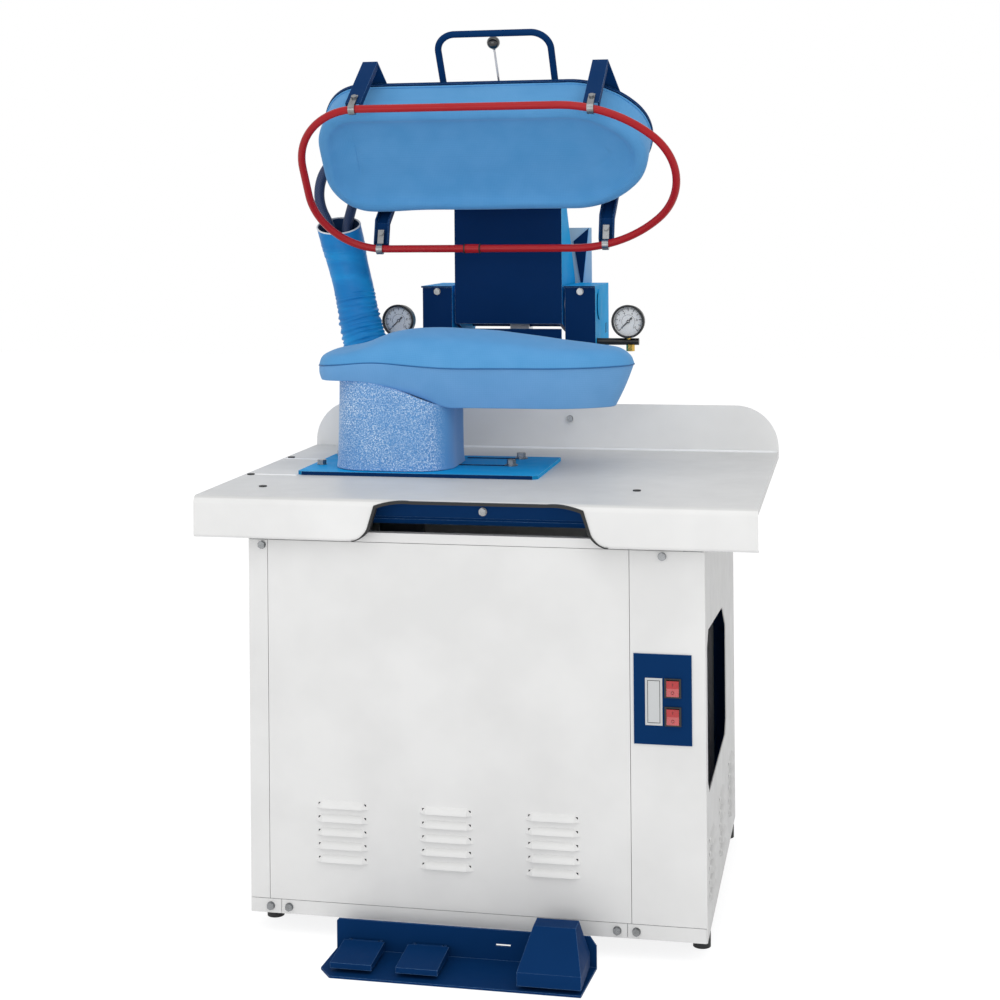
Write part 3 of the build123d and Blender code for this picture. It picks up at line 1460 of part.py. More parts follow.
def pedal_board():
    """Folded pedal board with its upstand, pedal lugs, pins and valve blocks."""
    x0, x1, y0, y1 = board_left, board_right, board_front, board_rear
    c = board_corner
    base = prism_z([(x0 + c, y0), (x1 - board_taper, y0), (x1, y1), (x0 + 4, y1), (x0, y0 + 1.3 * c)],
                   0, board_sheet)
    u = upstand_corner
    wall = prism_y([(x0 + 4, 0), (x1, 0), (x1, upstand_height - 1.4 * u), (x1 - u, upstand_height),
                    (x0 + 8, upstand_height), (x0 + 4, upstand_height - 4)], y1 - board_sheet, y1)
    inset, length, low, tall = upstand_slot
    wall -= block(x1 - inset - length, x1 - inset, y1 - board_sheet - 1, y1 + 1, low, low + tall)
    board = base + wall
    for left, width in pedal_spans():
        for x in (left + 7, left + width - 11):
            board += block(x, x + 4, pedal_hinge_y - 6, pedal_hinge_y + 4, 0, pedal_hinge_z + 5)
        board += round_bar((left + 7, pedal_hinge_y, pedal_hinge_z), (1, 0, 0), pedal_pin_radius, width - 14)
        middle = left + width / 2
        board += block(middle - 14, middle + 14, -112, -92, 0, pedal_gap)
    save("pedal_board", board)


def pedal_spans():
    """Left edge and width of each pedal."""
    return [(left, pedal_width) for left in pedal_lefts] + [(main_left, main_width)]


def pedal_hub(left, width):
    """The pedal's own pivot tube, bored to run on the board's pin."""
    x0 = left + 14
    length = width - 28
    hub = round_bar((x0, pedal_hinge_y, pedal_hinge_z), (1, 0, 0), pedal_pin_radius + 2.5, length)
    bore = round_bar((x0 - 40, pedal_hinge_y, pedal_hinge_z), (1, 0, 0), pedal_pin_radius + running_clearance,
                     length + 80)
    return hub, bore


def small_pedal(name, left):
    """Folded wedge pedal, open below, hinged near its rear edge."""
    right = left + pedal_width
    w = pedal_wall
    rear = pedal_hinge_y - 8
    outer = prism_x([(pedal_front, pedal_gap), (pedal_front, pedal_front_height), (rear, pedal_rear_height),
                     (rear, pedal_gap)], left, right)
    inner = prism_x([(pedal_front + w, pedal_gap - 1), (pedal_front + w, pedal_front_height - w),
                     (rear - w, pedal_rear_height - w), (rear - w, pedal_gap - 1)], left + w, right - w)
    hub, bore = pedal_hub(left, pedal_width)
    link = block(left + 14, right - 14, rear - w, pedal_hinge_y, pedal_hinge_z - 2, pedal_hinge_z + 4)
    save(name, outer - inner + (hub + link - bore))


def main_pedal():
    """Tall tapered pedal, open below, hinged at its rear."""
    x0, x1, w = main_left, main_left + main_width, pedal_wall
    rear = pedal_hinge_y - 8

    def form(inset, low, drop):
        left, right = x0 + inset, x1 - inset
        side = main_top_inset
        skirt = block(left, right, main_front + inset, rear - inset, low, main_front_height - drop)
        foot = Wire.make_polygon([(left, main_front + inset, main_front_height - drop),
                                  (right, main_front + inset, main_front_height - drop),
                                  (right, rear - inset, main_front_height - drop),
                                  (left, rear - inset, main_front_height - drop)], close=True)
        top = Wire.make_polygon([(left + side, main_top_front + inset, main_top - drop),
                                 (right - side, main_top_front + inset, main_top - drop),
                                 (right - side, rear - 4 - inset, main_top - drop),
                                 (left + side, rear - 4 - inset, main_top - drop)], close=True)
        return skirt + Solid.make_loft([foot, top], ruled=True)

    hub, bore = pedal_hub(x0, main_width)
    link = block(x0 + 14, x1 - 14, rear - w, pedal_hinge_y, pedal_hinge_z - 2, pedal_hinge_z + 4)
    body = form(0, pedal_gap, 0) - form(w, pedal_gap - 1, w)
    save("pedal_main", body + (hub + link - bore))


base_frame()
levelling_feet()
left_side_panel()
right_side_panel()
rear_panel()
front_door()
control_column()
front_rails()
frame_bolts()
control_plate()
legend_plate()
switch_housings()
rocker("rocker_upper", switch_levels[1])
rocker("rocker_lower", switch_levels[0])
table_top()
rubber_trim()
backguard()
buck_base_plate()
lower_buck()
upright("left_upright", left_upright_x, slotted=False)
upright("right_upright", right_upright_x, slotted=True)
pivot_bearings()
tower_plates()
tower_rear_guard()
air_cylinder()
head_arm()
head_back_plate()
head_shell()
head_pad()
handle()
head_fittings()
steam_lever()
safety_bar()
gauges()
hoses()
hose_sleeve()
boiler()
vacuum_fan()
feed_group()
service_fittings()
pedal_board()
small_pedal("pedal_left", pedal_lefts[0])
small_pedal("pedal_middle", pedal_lefts[1])
main_pedal()
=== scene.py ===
"""Looks of a pneumatic garment press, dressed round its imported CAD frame.

Sizes are the drawing's millimetres: x to the right, y from the cabinet's front face to the
rear, z up from the floor. place() turns a point of the drawing into the row frame in metres.
The head's sizes are given with the head closed over the buck, and opened() swings them up.
"""

import json
import logging
import math
from collections.abc import Callable, Sequence
from dataclasses import dataclass, replace
from enum import Enum

import bmesh
import bpy
from mathutils import Matrix, Vector, noise

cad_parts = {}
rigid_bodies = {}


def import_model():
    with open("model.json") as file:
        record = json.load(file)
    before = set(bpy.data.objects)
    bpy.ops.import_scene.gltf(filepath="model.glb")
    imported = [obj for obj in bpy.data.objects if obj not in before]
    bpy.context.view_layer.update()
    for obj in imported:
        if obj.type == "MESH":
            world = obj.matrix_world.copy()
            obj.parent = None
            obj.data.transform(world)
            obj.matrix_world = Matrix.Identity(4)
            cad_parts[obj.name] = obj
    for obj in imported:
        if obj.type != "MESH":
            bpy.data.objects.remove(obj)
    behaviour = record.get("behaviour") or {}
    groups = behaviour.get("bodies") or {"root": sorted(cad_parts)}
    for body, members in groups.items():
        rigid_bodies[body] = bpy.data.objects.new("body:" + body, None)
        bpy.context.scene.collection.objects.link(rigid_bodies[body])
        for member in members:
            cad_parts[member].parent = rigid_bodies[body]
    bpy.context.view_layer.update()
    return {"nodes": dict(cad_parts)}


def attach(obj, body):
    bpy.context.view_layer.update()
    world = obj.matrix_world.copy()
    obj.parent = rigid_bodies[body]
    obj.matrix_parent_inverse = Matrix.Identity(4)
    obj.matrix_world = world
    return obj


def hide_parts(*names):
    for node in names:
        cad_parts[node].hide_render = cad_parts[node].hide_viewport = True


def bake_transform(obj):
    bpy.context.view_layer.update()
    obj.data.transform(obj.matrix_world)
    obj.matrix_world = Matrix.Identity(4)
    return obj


for leftover in list(bpy.data.objects):
    bpy.data.objects.remove(leftover)
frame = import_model()

log = logging.getLogger("garment_press")

Point = tuple[float, float, float]
Ring = list[Point]

DEPTH_MIDDLE = 416.5
PIVOT_Y, PIVOT_Z, OPEN_ANGLE = 850.0, 1180.0, 54.5
PRESS_Y = 411.0
TABLE_Z = 850.0


class Body(Enum):
    """The CAD bodies that the pieces ride on."""

    CABINET = "cabinet"
    HEAD = "head"
    LEVER = "steam_lever"
    UPPER_ROCKER = "rocker_upper"
    LOWER_ROCKER = "rocker_lower"
    LEFT_NEEDLE = "needle_left"
    RIGHT_NEEDLE = "needle_right"


def place(x: float, y: float, z: float) -> Vector:
    """A drawing point in millimetres as a row-frame point in metres."""
    return Vector((x, y - DEPTH_MIDDLE, z)) / 1000


def opened(x: float, y: float, z: float) -> Point:
    """A point of the closed head as it stands with the head open, in millimetres."""
    turn = math.radians(-OPEN_ANGLE)
    dy, dz = y - PIVOT_Y, z - PIVOT_Z
    return (x, PIVOT_Y + dy * math.cos(turn) - dz * math.sin(turn),
            PIVOT_Z + dy * math.sin(turn) + dz * math.cos(turn))


def linear(code: str) -> tuple[float, float, float, float]:
    """An sRGB hex colour as the linear colour that a shader takes.

    Args:
        code: Six hex digits after a hash.

    Returns:
        Red, green, blue and an alpha of one.
    """
    parts = [int(code[k:k + 2], 16) / 255 for k in (1, 3, 5)]
    return (*[c / 12.92 if c <= 0.04045 else ((c + 0.055) / 1.055) ** 2.4 for c in parts], 1.0)


def ease(t: float) -> float:
    """A smooth step from 0 to 1, flat at both ends."""
    t = min(1.0, max(0.0, t))
    return t * t * (3 - 2 * t)


def soft_min(a: float, b: float, blend: float) -> float:
    """The smaller of two heights, rounded where they cross over a length of blend."""
    h = max(blend - abs(a - b), 0.0) / blend
    return min(a, b) - h * h * blend / 4


def mix(a: Sequence[float], b: Sequence[float], t: float) -> Point:
    """The point a share t of the way from a to b."""
    return tuple(p + (q - p) * t for p, q in zip(a, b))


# ------------------------------------------------------------------------------ finishes


def feed(tree: bpy.types.NodeTree, node: bpy.types.Node, inputs: dict) -> None:
    """Gives a node's inputs, by name or index, their constants or the sockets to link from."""
    for name, value in inputs.items():
        if isinstance(value, bpy.types.NodeSocket):
            tree.links.new(value, node.inputs[name])
        else:
            node.inputs[name].default_value = value


def add_node(tree: bpy.types.NodeTree, kind: str, inputs: dict | None = None,
             **settings: object) -> bpy.types.Node:
    """Adds a shader node with its settings and inputs.

    Args:
        tree: The material's node tree.
        kind: The node's type name.
        inputs: Input names or indices, each with a constant or a socket to link from.
        **settings: Attributes of the node itself.

    Returns:
        The new node.
    """
    node = tree.nodes.new(kind)
    for name, value in settings.items():
        setattr(node, name, value)
    feed(tree, node, inputs or {})
    return node


@dataclass(frozen=True)
class Finish:
    """A surface named for its real material and how it was made."""

    name: str
    colour: str

    def material(self) -> bpy.types.Material:
        """The finish's material, made once."""
        found = bpy.data.materials.get(self.name)
        if found:
            return found
        made = bpy.data.materials.new(self.name)
        made.use_nodes = True
        made.diffuse_color = linear(self.colour)
        tree = made.node_tree
        tree.nodes.clear()
        shader = add_node(tree, "ShaderNodeBsdfPrincipled", {"Base Color": linear(self.colour)})
        add_node(tree, "ShaderNodeOutputMaterial", {"Surface": shader.outputs["BSDF"]})
        self.dress(tree, shader)
        return made

    def dress(self, tree: bpy.types.NodeTree, shader: bpy.types.Node) -> None:
        """Adds the finish's own nodes and settings to its shader."""

    def noise(self, tree: bpy.types.NodeTree, size_mm: float, detail: float = 2.0,
              stretch: Point = (1.0, 1.0, 1.0), uv: bool = False) -> bpy.types.NodeSocket:
        """A noise pattern with grains of a real size.

        Args:
            tree: The material's node tree.
            size_mm: Width of one grain in millimetres.
            detail: Octaves of finer grains.
            stretch: Factors along the axes; a small one draws the grains out.
            uv: True to lay it along the cloth's own threads.

        Returns:
            The noise's factor socket.
        """
        source = add_node(tree, "ShaderNodeTexCoord").outputs["UV" if uv else "Object"]
        scaled = add_node(tree, "ShaderNodeMapping", {"Vector": source, "Scale": stretch})
        made = add_node(tree, "ShaderNodeTexNoise",
                        {"Vector": scaled.outputs[0], "Scale": 1000 / size_mm, "Detail": detail})
        return made.outputs["Fac"]

    def spread(self, tree: bpy.types.NodeTree, value: bpy.types.NodeSocket, low: float,
               high: float, from_low: float = 0.3, from_high: float = 0.7) -> bpy.types.NodeSocket:
        """A pattern's middle range mapped onto values from low to high."""
        made = add_node(tree, "ShaderNodeMapRange",
                        {"Value": value, "From Min": from_low, "From Max": from_high,
                         "To Min": low, "To Max": high})
        return made.outputs["Result"]

    def tint(self, tree: bpy.types.NodeTree, share: bpy.types.NodeSocket,
             first: object, second: object) -> bpy.types.NodeSocket:
        """Two colours, or colour sockets, mixed by a pattern."""
        made = add_node(tree, "ShaderNodeMix", {0: share, 6: first, 7: second}, data_type="RGBA")
        return made.outputs[2]

    def bump(self, tree: bpy.types.NodeTree, shader: bpy.types.Node,
             height: bpy.types.NodeSocket, depth_mm: float) -> None:
        """Raises the surface by a pattern, by up to depth_mm."""
        made = add_node(tree, "ShaderNodeBump",
                        {"Height": height, "Distance": depth_mm / 1000, "Strength": 1.0})
        feed(tree, shader, {"Normal": made.outputs["Normal"]})

    def edges(self, tree: bpy.types.NodeTree, width_mm: float) -> bpy.types.NodeSocket:
        """One along sharp edges and nought on faces, as wide as the painted edge highlight and the
        worn paint there.
        """
        rounded = add_node(tree, "ShaderNodeBevel", {"Radius": width_mm / 1000}, samples=6)
        sharp = add_node(tree, "ShaderNodeNewGeometry").outputs["Normal"]
        alike = add_node(tree, "ShaderNodeVectorMath",
                         {0: rounded.outputs["Normal"], 1: sharp}, operation="DOT_PRODUCT")
        return self.spread(tree, alike.outputs["Value"], 1.0, 0.0, 0.90, 0.985)


@dataclass(frozen=True)
class PowderCoat(Finish):
    """Polyester powder baked on sheet steel: satin, with a fine orange peel, and bright edges that
    are painted highlight with some wear.
    """

    # Colour along the edges: painted edge highlight, with some worn paint.
    edge: str = "#FFFFFF"
    edge_mm: float = 0.9
    edge_share: float = 0.6
    # Colour of the sideways and upward faces: the second coat of the two-blue plates, painted
    # shade on the white cabinet and table.
    flank: str | None = None
    roughness: float = 0.42
    peel_mm: float = 2.4
    peel_depth: float = 0.05
    specular: float = 0.5

    def dress(self, tree: bpy.types.NodeTree, shader: bpy.types.Node) -> None:
        """Orange peel, faint clouds of colour, paler edges that are painted highlight with some
        wear, and the second colour of sideways and upward faces.
        """
        base = linear(self.colour)
        # The second colour on sideways and upward faces: a second coat of paint on the two-blue
        # plates, painted shade on the cabinet's sides and the table's top.
        if self.flank:
            base = self.tint(tree, self.second_coat_and_painted_shade_faces(tree), base, linear(self.flank))
        cloud = self.noise(tree, 160.0, 3.0)
        deeper = add_node(tree, "ShaderNodeHueSaturation", {"Value": 0.93, "Color": base})
        base = self.tint(tree, self.spread(tree, cloud, 0.0, 1.0, 0.35, 0.65), base,
                         deeper.outputs["Color"])
        # Paler colour along the edges: painted edge highlight, with some worn paint.
        broken = self.spread(tree, self.noise(tree, 6.0, 4.0), 0.4, 1.0)
        thin = add_node(tree, "ShaderNodeMath", {0: self.edges(tree, self.edge_mm), 1: broken},
                        operation="MULTIPLY")
        share = add_node(tree, "ShaderNodeMath", {0: thin.outputs[0], 1: self.edge_share},
                         operation="MULTIPLY")
        feed(tree, shader, {
            "Base Color": self.tint(tree, share.outputs[0], base, linear(self.edge)),
            "Roughness": self.spread(tree, self.noise(tree, 45.0, 3.0), self.roughness - 0.05,
                                     self.roughness + 0.07),
            "Specular IOR Level": self.specular})
        self.bump(tree, shader, self.noise(tree, self.peel_mm), self.peel_depth)

    def second_coat_and_painted_shade_faces(self, tree: bpy.types.NodeTree) -> bpy.types.NodeSocket:
        """One on the faces that look sideways or up: a sprayed second coat on the two-blue plates,
        painted shade on the white cabinet and table.
        """
        normal = add_node(tree, "ShaderNodeTexCoord").outputs["Normal"]
        parts = add_node(tree, "ShaderNodeSeparateXYZ", {0: normal})
        side = add_node(tree, "ShaderNodeMath", {0: parts.outputs["X"]}, operation="ABSOLUTE")
        most = add_node(tree, "ShaderNodeMath", {0: side.outputs[0], 1: parts.outputs["Z"]},
                        operation="MAXIMUM")
        return self.spread(tree, most.outputs[0], 0.0, 1.0, 0.66, 0.74)


@dataclass(frozen=True)
class WorkedMetal(Finish):
    """Bare or plated metal with the marks of its last tool."""

    roughness: float = 0.3
    grain_mm: float = 1.5
    stretch: Point = (1.0, 1.0, 1.0)
    depth_mm: float = 0.03
    dull: str = "#8A8A88"

    def dress(self, tree: bpy.types.NodeTree, shader: bpy.types.Node) -> None:
        """Fine marks in the gloss, and dull patches where hands and steam reach."""
        patch = self.spread(tree, self.noise(tree, 30.0, 4.0), 0.0, 0.5, 0.45, 0.75)
        grain = self.noise(tree, self.grain_mm, 3.0, self.stretch)
        feed(tree, shader, {
            "Metallic": 1.0,
            "Base Color": self.tint(tree, patch, linear(self.colour), linear(self.dull)),
            "Roughness": self.spread(tree, grain, self.roughness - 0.08,
                                     self.roughness + 0.12)})
        self.bump(tree, shader, grain, self.depth_mm)


@dataclass(frozen=True)
class Moulded(Finish):
    """Moulded plastic, rubber or laminate, with the texture of its mould."""

    roughness: float = 0.4
    grain_mm: float = 1.2
    depth_mm: float = 0.03
    shade: float = 0.85
    coat: float = 0.0

    def dress(self, tree: bpy.types.NodeTree, shader: bpy.types.Node) -> None:
        """Mould grain and a slight unevenness of colour."""
        cloud = self.spread(tree, self.noise(tree, 25.0, 3.0), 0.0, 1.0)
        deeper = add_node(tree, "ShaderNodeHueSaturation",
                          {"Value": self.shade, "Color": linear(self.colour)})
        grain = self.noise(tree, self.grain_mm, 2.0)
        feed(tree, shader, {
            "Base Color": self.tint(tree, cloud, linear(self.colour), deeper.outputs["Color"]),
            "Roughness": self.spread(tree, grain, self.roughness - 0.04,
                                     self.roughness + 0.08),
            "Coat Weight": self.coat, "Coat Roughness": 0.12, "IOR": 1.5})
        self.bump(tree, shader, grain, self.depth_mm)


@dataclass(frozen=True)
class Woven(Finish):
    """Plain-woven cloth: over-and-under threads that follow the piece's own directions."""

    weft: str = "#4A86BE"
    thread_mm: float = 1.8
    depth_mm: float = 0.12
    roughness: float = 0.85
    sheen: float = 0.25
    slack_mm: float = 60.0

    def dress(self, tree: bpy.types.NodeTree, shader: bpy.types.Node) -> None:
        """Threads, slubs and the faint shading of cloth stretched over felt."""
        weave = self.weave(tree)
        cloud = self.spread(tree, self.noise(tree, self.slack_mm, 3.0), 0.0, 0.45)
        threads = self.tint(tree, self.spread(tree, weave, 0.0, 0.5, 0.2, 0.8),
                            linear(self.colour), linear(self.weft))
        deeper = add_node(tree, "ShaderNodeHueSaturation",
                          {"Value": 0.88, "Saturation": 1.06, "Color": threads})
        feed(tree, shader, {
            "Base Color": self.tint(tree, cloud, threads, deeper.outputs["Color"]),
            "Roughness": self.roughness, "Sheen Weight": self.sheen, "Sheen Roughness": 0.45,
            "Specular IOR Level": 0.25})
        self.bump(tree, shader, weave, self.depth_mm)

    def weave(self, tree: bpy.types.NodeTree) -> bpy.types.NodeSocket:
        """Height of the threads, from the cloth's own coordinates in metres."""
        source = add_node(tree, "ShaderNodeTexCoord").outputs["UV"]
        # A wave texture repeats each two pi over twenty times its scale.
        scale = 2 * math.pi / 20 / (2 * self.thread_mm / 1000)
        waves = [add_node(tree, "ShaderNodeTexWave",
                          {"Vector": source, "Scale": scale, "Distortion": 0.6,
                           "Detail": 1.0, "Detail Scale": 0.6},
                          bands_direction=axis).outputs["Fac"] for axis in "XY"]
        both = add_node(tree, "ShaderNodeMath", {0: waves[0], 1: waves[1]}, operation="ADD")
        half = add_node(tree, "ShaderNodeMath", {0: both.outputs[0], 1: 0.5},
                        operation="MULTIPLY")
        return half.outputs[0]


@dataclass(frozen=True)
class Fleeced(Finish):
    """Needled cover cloth with bright metallised flecks among its blue fibres."""

    fleck: str = "#D5E6F5"
    fleck_mm: float = 2.3
    plain: str = "#5193CB"
    shade: str = "#3A7CBC"

    def dress(self, tree: bpy.types.NodeTree, shader: bpy.types.Node) -> None:
        """Flecks of two sizes, and a smooth strip where the cloth turns the right corner."""
        small = self.spread(tree, self.noise(tree, self.fleck_mm, 3.0), 0.0, 1.0, 0.47, 0.60)
        large = self.spread(tree, self.noise(tree, 90.0, 2.0), 0.55, 1.0, 0.35, 0.62)
        both = add_node(tree, "ShaderNodeMath", {0: small, 1: large}, operation="MULTIPLY")
        flecked = self.tint(tree, both.outputs[0], linear(self.colour), linear(self.fleck))
        dark = self.spread(tree, self.noise(tree, self.fleck_mm * 1.5, 2.0), 0.0, 0.7,
                           0.50, 0.62)
        flecked = self.tint(tree, dark, flecked, linear(self.shade))
        normal = add_node(tree, "ShaderNodeTexCoord").outputs["Normal"]
        parts = add_node(tree, "ShaderNodeSeparateXYZ", {0: normal})
        turned = self.spread(tree, parts.outputs["X"], 0.0, 1.0, 0.62, 0.88)
        feed(tree, shader, {
            "Base Color": self.tint(tree, turned, flecked, linear(self.plain)),
            "Roughness": 0.7, "Sheen Weight": 0.3})
        self.bump(tree, shader, self.noise(tree, self.fleck_mm, 3.0), 0.5)


@dataclass(frozen=True)
class CoatedCloth(Finish):
    """Nylon cloth with a silky coating: soft gloss along its folds, threads just showing."""

    deep: str = "#0E78BE"
    thread_mm: float = 1.4

    def dress(self, tree: bpy.types.NodeTree, shader: bpy.types.Node) -> None:
        """Darker colour in soft random bands, thread marks and small creases."""
        bands = self.spread(tree, self.noise(tree, 75.0, 3.0, (0.5, 0.5, 1.6)), 0.0, 1.0,
                            0.38, 0.62)
        feed(tree, shader, {
            "Base Color": self.tint(tree, bands, linear(self.colour), linear(self.deep)),
            "Roughness": self.spread(tree, self.noise(tree, 12.0, 3.0), 0.36, 0.52),
            "Specular IOR Level": 0.22})
        self.bump(tree, shader, self.noise(tree, self.thread_mm, 2.0, uv=True), 0.08)


@dataclass(frozen=True)
class BraidedRubber(Finish):
    """Rubber hose with a woven outer braid: two sets of strands crossing at a slant."""

    light: str = "#2B4674"
    strand_mm: float = 5.0

    def dress(self, tree: bpy.types.NodeTree, shader: bpy.types.Node) -> None:
        """Crossing strands from the hose's own length and girth."""
        source = add_node(tree, "ShaderNodeTexCoord").outputs["UV"]
        scale = 2 * math.pi / 20 / (self.strand_mm / 1000)
        strands = []
        for slant in (45.0, -45.0):
            turned = add_node(tree, "ShaderNodeMapping",
                              {"Vector": source, "Rotation": (0, 0, math.radians(slant))})
            strands.append(add_node(tree, "ShaderNodeTexWave",
                                    {"Vector": turned.outputs[0], "Scale": scale})
                           .outputs["Fac"])
        braid = add_node(tree, "ShaderNodeMath", {0: strands[0], 1: strands[1]},
                         operation="MULTIPLY").outputs[0]
        feed(tree, shader, {
            "Base Color": self.tint(tree, braid, linear(self.colour), linear(self.light)),
            "Roughness": 0.55})
        self.bump(tree, shader, braid, 0.35)


@dataclass(frozen=True)
class ClearGlass(Finish):
    """Flat gauge glass: nearly unseen but for its reflections."""

    def dress(self, tree: bpy.types.NodeTree, shader: bpy.types.Node) -> None:
        """A faint film with a hard gloss, uneven where it was wiped."""
        wiped = self.spread(tree, self.noise(tree, 14.0, 3.0), 0.03, 0.12)
        feed(tree, shader, {"Alpha": 0.05, "IOR": 1.5, "Roughness": wiped})


class Finishes(Enum):
    """Every finish on the press."""

    # Polyester powder on the cabinet's sheet steel: off-white, satin, edges a touch brighter as
    # painted highlight, and greyer on its sides and tops as painted shade.
    CABINET = PowderCoat("powder_coated_steel_white", "#E5E5E4", "#FFFFFF", 0.8, 0.35,
                         "#CBCBCA")
    # The same powder on the table, greyer on its top and sides as painted shade, with painted
    # highlight along its edges.
    TABLE = PowderCoat("powder_coated_steel_pale_grey", "#E9E9E8", "#FFFFFF", 0.9, 0.6,
                       "#D8D8D7", 0.45)
    # Fine-textured navy powder on the machine's plate work, pale along its edges: painted edge
    # highlight with some rubbed paint.
    NAVY = PowderCoat("powder_coated_plate_navy", "#0B3261", "#7FA9DA", 0.8, 0.8,
                      roughness=0.45, peel_mm=1.6, peel_depth=0.09, specular=0.02)
    # Navy on the plates' fronts and sky blue on their flanks and tops, pale along the edges as
    # painted highlight with some wear.
    TWO_TONE = PowderCoat("powder_coated_plate_two_blues", "#0A2F5E", "#B9DDF5", 0.8, 0.75,
                          "#18A2E2", 0.45, 1.6, 0.09, 0.02)
    # Sky-blue powder on the guard behind the arm, paler along its edges as painted highlight with
    # some wear.
    SKY = PowderCoat("powder_coated_sheet_sky", "#B2D6EF", "#E8F4FC", 0.8, 0.6)
    # Gloss enamel on the safety tube, a paler red along its edges: painted highlight with some
    # scuffing.
    RED_TUBE = PowderCoat("gloss_enamel_red", "#A81B22", "#D9837E", 0.6, 0.15,
                          roughness=0.2, peel_mm=5.0, specular=0.2)
    # Gloss enamel on the boiler's jacket, grey along its edges as painted highlight.
    BLACK_JACKET = PowderCoat("gloss_enamel_black", "#161818", "#4A4E50", 0.9, 0.5,
                              roughness=0.25)
    # Zinc-plated fasteners and clips: bright with a faint bluish haze.
    ZINC = WorkedMetal("zinc_plated_steel", "#8E9092", 0.28, 2.0, dull="#4A4B48")
    # Ground steel rod and shafts: fine rings round the bar.
    GROUND = WorkedMetal("ground_steel", "#C4C5C7", 0.22, 0.8, (0.2, 0.2, 3.0))
    # Cast aluminium of the heated head: dull skin of a sand mould.
    CAST = WorkedMetal("cast_aluminium", "#B9BABC", 0.5, 2.5, depth_mm=0.12)
    # Drawn aluminium barrel with an anodised skin.
    BARREL = WorkedMetal("anodised_aluminium", "#C6C9CE", 0.34, 0.9, (3.0, 3.0, 0.2))
    # Machined brass fittings, browned by heat.
    BRASS = WorkedMetal("machined_brass", "#D9B35A", 0.26, 1.0, dull="#9A7A3C")
    # Machine enamel on cast iron, paler along its edges as painted highlight with some wear.
    IRON = PowderCoat("enamelled_cast_iron", "#555B63", "#8C9096", 0.8, 0.5, roughness=0.45,
                      peel_mm=3.5, peel_depth=0.15)
    # Moulded rubber of feet, trim and buffers: matt, with a bloom.
    RUBBER = Moulded("moulded_rubber", "#1B1C1D", 0.62, 1.4, 0.05, 0.7)
    # Black ABS of bezels and gauge cases.
    ABS = Moulded("moulded_abs_black", "#141517", 0.32, 0.9, 0.02, 0.8)
    # Phenolic ball knob, polished in its mould.
    PHENOLIC = Moulded("polished_phenolic_black", "#0C0C0D", 0.12, 3.0, 0.005, 0.9, 0.6)
    # Clear red polycarbonate of the rocker keys.
    RED_KEY = Moulded("moulded_polycarbonate_red", "#B71E23", 0.2, 2.0, 0.01, 0.75, 0.5)
    # Two-layer engraving laminate of the bare legend plate.
    LAMINATE = Moulded("engraving_laminate_white", "#C6C8C9", 0.35, 1.0, 0.01, 0.97)
    # Enamelled gauge dial.
    DIAL = Moulded("enamelled_dial_white", "#F1F3F4", 0.4, 1.0, 0.005, 0.97)
    # Printing ink of dial marks.
    INK = Moulded("printing_ink_black", "#17181A", 0.5, 0.8, 0.003, 0.9)
    # Print on the rocker keys.
    KEY_INK = Moulded("printing_ink_maroon", "#6E1013", 0.5, 0.8, 0.003, 0.9)
    # White cotton lining and hems.
    LINING = Woven("woven_cotton_white", "#E9EDF2", "#CBD3DD", 1.6, 0.1, 0.9, 0.3)
    # Sealing compound run along the table's back corner.
    SEALANT = Moulded("sealing_compound_white", "#F4F5F6", 0.45, 3.0, 0.05, 0.98)
    # Heat-proof press cloth of the pads: matt mid blue, stretched smooth.
    PAD = Woven("woven_press_cloth_blue", "#5C9FD5", "#5294CB", sheen=0.12)
    # The same cloth under the buck, a shade paler: painted light.
    UNDER = Woven("woven_press_cloth_blue_painted_light", "#70A8DC", "#669DD2", sheen=0.12)
    # Thread and cord in the covers' seams.
    THREAD = Woven("twisted_thread_deep_blue", "#2E6CA6", "#22578C", 1.2, 0.2)
    # Flecked cover round the pedestal.
    FLEECE = Fleeced("needled_cover_cloth_flecked", "#5591CC")
    # Coated nylon of the hose sleeve.
    SLEEVE = CoatedCloth("coated_nylon_cloth_blue", "#1592D6")
    # The uncoated back of the same cloth, seen down the sleeve's mouth, painted dark navy as the
    # shade inside the sleeve.
    SLEEVE_INSIDE_PAINTED_SHADE = Woven("uncoated_nylon_cloth_navy_painted_shade", "#143660", "#0F2A4C", 1.4, 0.08,
                        sheen=0.05)
    # Braided steam and suction hoses.
    HOSE = BraidedRubber("braided_rubber_hose_navy", "#142A4E")
    # Gauge glass.
    GLASS = ClearGlass("flat_gauge_glass", "#F4F8FA")


